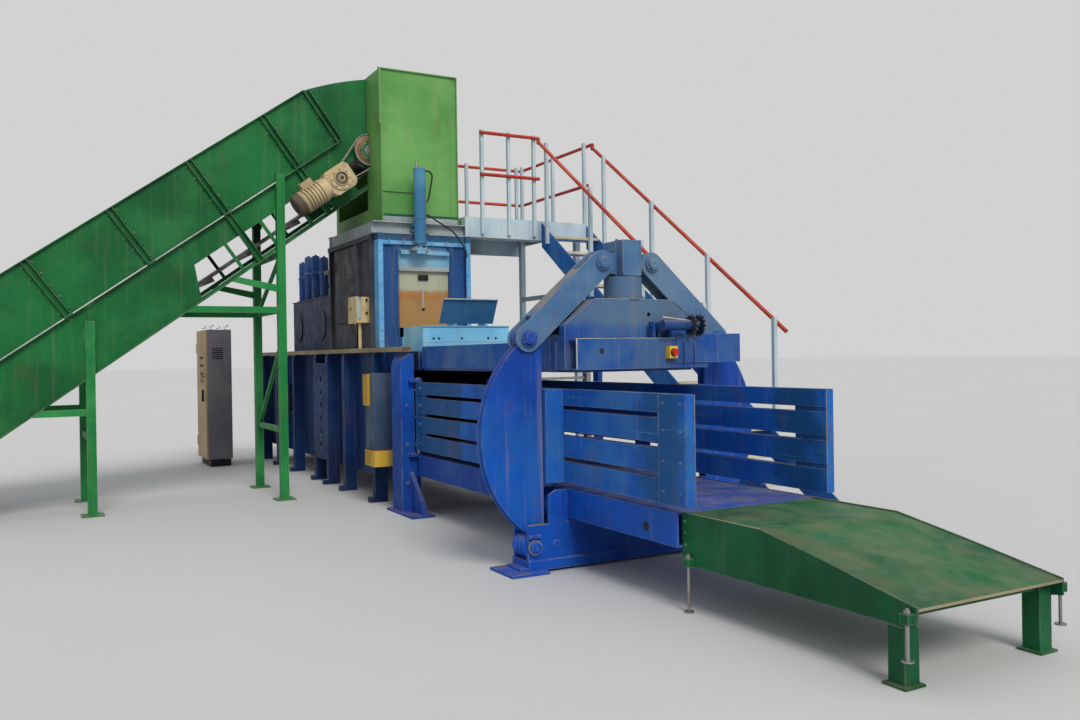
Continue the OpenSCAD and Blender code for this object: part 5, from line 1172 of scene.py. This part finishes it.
@dataclass(frozen=True)
class ShaftHardware(Hardware):
    """Seams, bolts and fittings of the hood, the hopper shaft, the gate frame and the tamper."""

    hood_x: tuple[float, float] = (-5.890, -4.150)
    hood_z: tuple[float, float] = (3.165, 4.945)
    gate_x: float = -4.010
    gate_z: tuple[float, float] = (1.70, 2.98)
    blade_x: float = -4.108
    cylinder: tuple[float, float] = (-3.930, -0.095)
    door_hinge: Spot = (-4.310, 0.4893, 0)
    door_turn: float = -20

    def hood(self) -> None:
        """Build the hood's seams, rivets, lifting eyes and door handle."""
        skin = self.piece("hood_seams", HOOD_GREEN)
        front = self.hood_x[1]
        low, high = self.hood_z
        skin.slab((front - 0.001, 0.384, low + 0.013), (front + 0.0035, 0.392, high - 0.013), 0.001)
        skin.slab((front + 0.018, -0.505, 4.30), (front + 0.023, -0.480, high), 0.001)
        skin.slab((front + 0.002, -0.505, 4.30), (front + 0.023, -0.500, high), 0.001)
        for y in (-0.462, 0.462):
            for step in range(13):
                skin.turned((front, y, low + 0.10 + step * 0.135), AHEAD,
                    ((0.008, 0.0), (0.007, 0.003), (0.003, 0.005)), 8)
        for x in (self.hood_x[0] + 0.20, front - 0.20):
            skin.pipe((x, -0.05, high), UP, 0.010, (Go(0.025), Turn(180, 0.03, FAR), Go(0.025)), 8)
        turn = Matrix.Translation(self.door_hinge) @ Matrix.Rotation(math.radians(self.door_turn), 4, "Z")
        door = self.piece("hood_door_frame", HOOD_GREEN, "hood_door", place=turn)
        for z in (3.815, 4.370):
            door.slab((-1.07, -0.003, z), (-0.06, 0.004, z + 0.015), 0.001)
        door.turned((-1.02, 0.04, 4.10), FAR, ((0.016, 0.0), (0.020, 0.004), (0.020, 0.014),
            (0.014, 0.018)), 18)

    def gate(self) -> None:
        """Build the bolts of the gate frame, the beam and the hopper."""
        bolts = self.piece("gate_bolts", GATE_BLUE)
        for side in SIDES:
            bolts.bolts((self.gate_x, side * 0.548, self.gate_z[0] + 0.09),
                (self.gate_x, side * 0.548, self.gate_z[1] - 0.03), 10, AHEAD, 0.015)
        bolts.bolts((self.gate_x, -0.44, 2.955), (self.gate_x, 0.44, 2.955), 6, AHEAD, 0.02)
        for y in (-0.50, -0.30, 0.30, 0.50, 0.80, 1.30):
            bolts.bolt((-4.19, y, 3.1655), UP, 0.024)
        for y, z in ((self.cylinder[1] - 0.07, 2.79), (self.cylinder[1] + 0.07, 2.79)):
            bolts.bolt((-3.995, y, z), AHEAD, 0.022)
        # These weld beads lie inside the gate paint's painted shade band, so they come out dark like the
        # shaded recess.
        welds = self.piece("gate_welds", GATE_BLUE)
        for side in SIDES:
            welds.weld((self.gate_x + 0.001, side * 0.335, 1.84), (self.gate_x + 0.001, side * 0.335, 2.90))

    def tamper(self) -> None:
        """Build the blade's fittings, the tamper cylinder's caps, ports and lines, and the hood's base."""
        joint = self.piece("blade_joint", BEAM_GREY, "tamper")
        joint.slab((self.blade_x, -0.009, 2.12), (self.blade_x + 0.003, 0.009, 2.50), 0.001)
        latch = self.piece("blade_latch", DARK_PLASTIC, "tamper")
        latch.slab((self.blade_x, -0.062, 2.50), (self.blade_x + 0.022, 0.062, 2.565), 0.003)
        latch.turned((self.blade_x, 0.0, 2.16), AHEAD, ((0.018, 0.0), (0.018, 0.010), (0.012, 0.014)), 16)
        cover = self.piece("blade_cover", LIGHT_BLUE, "tamper")
        cover.slab((-4.117, -0.325, 2.828), (-4.111, 0.325, 2.898), 0.001)
        ledge = self.piece("blade_ledge", BEAM_GREY, "tamper")
        ledge.slab((-4.100, -0.310, 2.8285), (-4.014, 0.130, 2.836), 0.001)
        x, y = self.cylinder
        ledge.slab((x - 0.085, y - 0.115, 2.8285), (x + 0.040, y + 0.115, 2.840), 0.002)
        for side in SIDES:
            ledge.slab((x - 0.085, y + side * 0.060 - 0.006, 2.838),
                (x + 0.036, y + side * 0.060 + 0.006, 2.875), 0.002)
        ledge.slab((self.blade_x, -0.318, 2.602), (self.blade_x + 0.044, 0.318, 2.658), 0.002)
        caps = self.piece("cylinder_caps", CYLINDER_BLUE)
        caps.turned((x, y, 3.7595), UP, ((0.068, 0.0), (0.068, 0.012), (0.060, 0.020), (0.022, 0.020),
            (0.020, 0.03)), 28)
        caps.turned((x, y, 3.195), UP, ((0.0725, 0.0), (0.0725, 0.012), (0.069, 0.015)), 28)
        ports = self.piece("cylinder_ports", BOLT_STEEL)
        ports.turned((x, y + 0.040, 3.741), (0, 1, 0.2),
            ((0.018, 0.0), (0.018, 0.022), (0.014, 0.022), (0.014, 0.034)), 6)
        for z, rise in ((3.375, 0.9), (3.262, -0.5)):
            ports.turned((x, y + 0.060, z), (0, 1, rise),
                ((0.018, 0.0), (0.018, 0.018), (0.014, 0.018), (0.014, 0.034)), 6)
        ports.turned((x, y + 0.064, 3.02), FAR, ((0.018, 0.0), (0.018, 0.018), (0.013, 0.018),
            (0.013, 0.036)), 6)
        ports.turned((x, y - 0.03, 3.779), (-0.25, 0, 1), ((0.012, 0.0), (0.012, 0.07), (0.008, 0.075)), 10)
        line = self.piece("tamper_feed_line", DARK_PLASTIC)
        line.pipe((x, y + 0.060, 3.745), (0, 1, 0.2), 0.010,
            (Go(0.025), Turn(112, 0.062, DOWN), Go(0.23), Turn(30, 0.12, NEAR), Go(0.02)), 10)
        line.pipe((x, y + 0.080, 3.252), (0, 1, -0.55), 0.010,
            (Go(0.33), Turn(25, 0.30, DOWN), Go(0.14), Turn(32, 0.16, NEAR), Go(0.01), Turn(90, 0.03, BACK),
            Go(0.05)), 10)
        base = self.piece("hood_base", BEAM_GREY)
        base.slab((self.hood_x[1] - 0.002, -0.479, 3.1755), (self.hood_x[1] + 0.004, 0.479, 3.245), 0.001)
        rim = self.piece("hood_rim", CONVEYOR_GREEN)
        rim.slab((self.hood_x[1] - 0.002, -0.490, 3.246), (self.hood_x[1] + 0.012, 0.490, 3.270), 0.001)

    def box(self) -> None:
        """Build the worn edge, hinges, lock and glands of the junction box."""
        low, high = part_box("junction_box")
        bright = self.piece("box_edge", WHITE_LINE)
        bright.slab((high[0] - 0.001, low[1] + 0.004, high[2] - 0.262),
            (high[0] + 0.0025, low[1] + 0.060, high[2] - 0.006), 0.001)
        dark = self.piece("box_fittings", DARK_PLASTIC)
        for z in (high[2] - 0.06, high[2] - 0.21):
            dark.slab((high[0] - 0.001, high[1] - 0.052, z), (high[0] + 0.012, high[1] - 0.030, z + 0.03),
                0.003)
        dark.turned((low[0] + 0.10, low[1] - 0.001, high[2] - 0.14), NEAR,
            ((0.014, 0.0), (0.014, 0.006), (0.010, 0.009)), 16)
        for x in (0.06, 0.12, 0.18):
            dark.turned((low[0] + x, (low[1] + high[1]) / 2, high[2] - 0.30), DOWN,
                ((0.015, 0.0), (0.015, 0.016), (0.011, 0.018), (0.010, 0.034)), 12)

    def shape(self) -> None:
        """Shape every piece."""
        self.hood()
        self.gate()
        self.tamper()
        self.box()


@dataclass(frozen=True)
class ChannelHardware(Hardware):
    """Welds, bolts and worn edges of the walls, the posts, the bed, the service box and the ramp."""

    wall_out: float = 0.610
    wall_z: tuple[float, float] = (0.645, 1.343)
    outlet_x: float = 1.665
    ramp_x: tuple[float, float] = (1.535, 3.295)
    ramp_y: float = 0.560
    ramp_end_z: float = 0.400
    lid_hinge: Spot = (-2.883, -0.010, 1.934)
    lid_lean: float = 28

    def walls(self) -> None:
        """Build the bolts and welds of both swinging walls."""
        for side, tag in TAGS:
            piece = self.piece(f"wall_bolts_{tag}", WALL_BLUE, f"wall_{tag}")
            face = side * (self.wall_out + 0.008)
            for x in (self.outlet_x - 0.286, self.outlet_x - 0.014):
                piece.weld((x, face, self.wall_z[0] + 0.01), (x, face, self.wall_z[1] - 0.01), 0.005)
            for z in (0.724, 0.916, 1.108, 1.282):
                piece.bolts((self.outlet_x - 0.24, face, z), (self.outlet_x - 0.06, face, z), 2,
                    (0, side, 0), 0.016)
                piece.bolt((-2.70, side * self.wall_out, z), (0, side, 0), 0.026)
            for z in (0.70, 0.98, 1.26):
                piece.turned((-2.84, side * 0.612, z), (0, side, 0),
                    ((0.012, -0.004), (0.012, 0.006), (0.005, 0.010)), 10)
            edge = self.piece(f"wall_end_edge_{tag}", TRAY_BEIGE, f"wall_{tag}")
            edge.slab((self.outlet_x - 0.001, side * 0.552, 0.65),
                (self.outlet_x + 0.0025, side * 0.556, 1.34), 0.0005)

    def star(self) -> None:
        """Build the strut above the star wheel's arm."""
        strut = self.piece("star_strut", WHITE_LINE, "star_arm")
        strut.pipe((0.318, 0.205, 1.880), (0.13, 0.215, -0.04), 0.008,
            (Go(0.20), Turn(40, 0.03, DOWN), Go(0.02)), 8)

    def posts(self) -> None:
        """Build the welds of the hinge posts, and the bed's bolts."""
        piece = self.piece("post_bolts", BED_BLUE)
        plug = self.piece("bed_plugs", DARK_PLASTIC)
        for side in SIDES:
            for z in (0.30, 0.70, 1.10):
                piece.bolt((-2.875, side * 0.69, z), AHEAD, 0.03)
            piece.weld((-2.873, side * 0.752, 0.02), (-2.873, side * 0.752, 1.49))
            plug.turned((1.20, side * 0.600, 0.47), (0, side, 0),
                ((0.030, 0.0), (0.030, 0.003), (0.026, 0.004), (0.022, 0.002)), 24)

    def box(self) -> None:
        """Build the lid's worn edge and handle, and the service box's edge and bolts."""
        turn = Matrix.Translation(self.lid_hinge) @ Matrix.Rotation(math.radians(self.lid_lean), 4, "Y")
        line = self.piece("lid_edge_line", WHITE_LINE, "service_lid", place=turn)
        line.slab((-0.004, -0.311, 0.2985), (0.017, 0.311, 0.3035), 0.001)
        foot = self.piece("service_box_line", WHITE_LINE)
        foot.slab((-2.886, -0.499, 1.752), (-2.8825, 0.499, 1.763), 0.001)
        grip = self.piece("lid_handle", BOLT_STEEL, "service_lid", place=turn)
        grip.pipe((-0.003, -0.06, 0.22), BACK, 0.006,
            (Go(0.02), Turn(90, 0.015, FAR), Go(0.09), Turn(90, 0.015, AHEAD), Go(0.02)), 8)
        rim = self.piece("service_box_bolts", BOLT_STEEL)
        for y in (-0.46, -0.16, 0.14, 0.44):
            rim.bolt((-2.885, y, 1.700), AHEAD, 0.018)

    def ramp(self) -> None:
        """Build the ramp's worn edges, bolts and welds."""
        edge = self.piece("ramp_edge", TRAY_BEIGE)
        bolts = self.piece("ramp_bolts", RAMP_GREEN)
        for side in SIDES:
            inner, outer = sorted((side * (self.ramp_y - 0.012), side * self.ramp_y))
            edge.slab((self.ramp_x[0], inner - 0.0005, 0.6035),
                (self.ramp_x[0] + 0.70, outer + 0.0005, 0.6055), 0.0005)
            bolts.bolts((self.ramp_x[0] + 0.03, side * self.ramp_y, 0.55),
                (self.ramp_x[0] + 0.03, side * self.ramp_y, 0.33), 4, (0, side, 0), 0.014)
            bolts.weld((3.127, side * (self.ramp_y + 0.001), 0.29),
                (3.223, side * (self.ramp_y + 0.001), 0.29))
        edge.slab((self.ramp_x[1] - 0.001, -0.548, self.ramp_end_z - 0.021),
            (self.ramp_x[1] + 0.002, 0.548, self.ramp_end_z - 0.008), 0.0005)

    def shape(self) -> None:
        """Shape every piece."""
        self.walls()
        self.star()
        self.posts()
        self.box()
        self.ramp()


@dataclass(frozen=True)
class PlantHardware(Hardware):
    """Fittings of the press, the hydraulic unit, the stairs and the control cabinet."""

    press_z: float = 1.023
    tank_top: float = 2.452
    filters: tuple[tuple[float, float], ...] = ((-8.04, 0.60), (-7.72, 0.66), (-7.34, 0.64), (-6.92, 0.58))
    stair_x: float = -4.028
    stair_y: tuple[float, float] = (1.560, 2.224)
    platform_z: float = 3.270
    stair_fall: float = 0.710
    treads: int = 14

    def press(self) -> None:
        """Build the flange bolts of the main cylinder."""
        low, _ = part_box("main_cylinder")
        bolts = self.piece("cylinder_bolts", BOLT_STEEL)
        bolts.ring((low[0], 0, self.press_z), BACK, 0.205, 10, 0.03)

    def hydraulics(self) -> None:
        """Build the filters, filler cap, level glass and gauges on the oil tank."""
        bowls = self.piece("return_filters", MOTOR_BLUE)
        for x, top in self.filters:
            bowls.turned((x, -0.36, self.tank_top), UP,
                ((0.085, 0.0), (0.085, 0.018), (0.062, 0.020), (0.062, top * 0.55), (0.070, top * 0.56),
                (0.070, top * 0.62), (0.060, top * 0.64), (0.060, top - 0.03), (0.048, top), (0.016, top),
                (0.016, top + 0.02)), 24)
            bowls.ring((x, -0.36, self.tank_top + 0.018), UP, 0.074, 6, 0.014)
        small = self.piece("tank_fittings", BOLT_STEEL)
        small.turned((-6.40, -0.30, self.tank_top), UP,
            ((0.05, 0.0), (0.05, 0.01), (0.04, 0.012), (0.04, 0.06), (0.052, 0.062), (0.052, 0.085),
            (0.046, 0.09)), 24)
        small.slab((-6.72, -0.4865, 1.95), (-6.66, -0.478, 2.20), 0.004)
        small.bolts((-6.69, -0.486, 1.965), (-6.69, -0.486, 2.185), 2, NEAR, 0.02)
        small.turned((-6.20, -0.42, self.tank_top), UP, ((0.012, 0.0), (0.012, 0.10)), 10)
        small.turned((-6.20, -0.43, self.tank_top + 0.125), NEAR,
            ((0.035, -0.02), (0.035, 0.012), (0.030, 0.015), (0.028, 0.010)), 24)

    def stairs(self) -> None:
        """Build the tread nosings, and the bolts through the stringers."""
        nose = self.piece("tread_nosings", CREAM_EDGE)
        bolts = self.piece("tread_bolts", BOLT_STEEL)
        near, far = self.stair_y
        for index in range(1, self.treads + 1):
            z = self.platform_z * (1 - index / (self.treads + 1))
            x = self.stair_x + (self.platform_z - z) / self.stair_fall
            nose.slab((x - 0.040, near + 0.0115, z - 0.0005), (x - 0.0135, far - 0.0115, z + 0.003), 0.001)
            nose.slab((x - 0.0155, near + 0.0115, z - 0.030), (x - 0.0125, far - 0.0115, z + 0.002), 0.001)
            for spot, side in ((near, -1), (far, 1)):
                bolts.bolts((x - 0.19, spot, z - 0.015), (x - 0.06, spot, z - 0.015), 2, (0, side, 0),
                    0.018)

    def cabinet(self) -> None:
        """Build the eyes, vents and door handle of the control cabinet."""
        low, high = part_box("cabinet")
        front = low[1]
        eyes = self.piece("cabinet_eyes", BOLT_STEEL)
        for x in (low[0] + 0.09, high[0] - 0.09):
            for y in (front + 0.10, high[1] - 0.07):
                eyes.turned((x, y, high[2]), UP, ((0.020, 0.0), (0.020, 0.005), (0.009, 0.006),
                    (0.009, 0.016)), 16)
                eyes.pipe((x, y - 0.016, high[2] + 0.030), UP, 0.005,
                    (Turn(180, 0.016, FAR), Turn(175, 0.016, NEAR)), 8)
        vent = self.piece("cabinet_vents", DARK_PLASTIC)
        for step in range(6):
            z = 1.62 + step * 0.03
            vent.slab((high[0] - 0.001, front + 0.10, z), (high[0] + 0.004, front + 0.26, z + 0.014),
                0.0015)
        door = self.piece("cabinet_door_fittings", DARK_PLASTIC, "cabinet_door")
        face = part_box("cabinet_door")[0][1]
        door.slab((high[0] - 0.10, face + 0.010, 0.98), (high[0] - 0.06, face + 0.042, 1.16), 0.006)

    def shape(self) -> None:
        """Shape every piece."""
        self.press()
        self.hydraulics()
        self.stairs()
        self.cabinet()


def main() -> None:
    """Build the studio and dress the machine, one sub-assembly after another."""
    logging.basicConfig(level=logging.INFO, format="%(message)s")
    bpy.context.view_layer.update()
    Studio().build()
    shop = PaintShop()
    shop.dress()
    for hardware in (SqueezeHardware(shop), ConveyorHardware(shop), ShaftHardware(shop),
            ChannelHardware(shop), PlantHardware(shop)):
        LOG.info("%s", type(hardware).__name__)
        hardware.build()


if __name__ == "__main__":
    main()
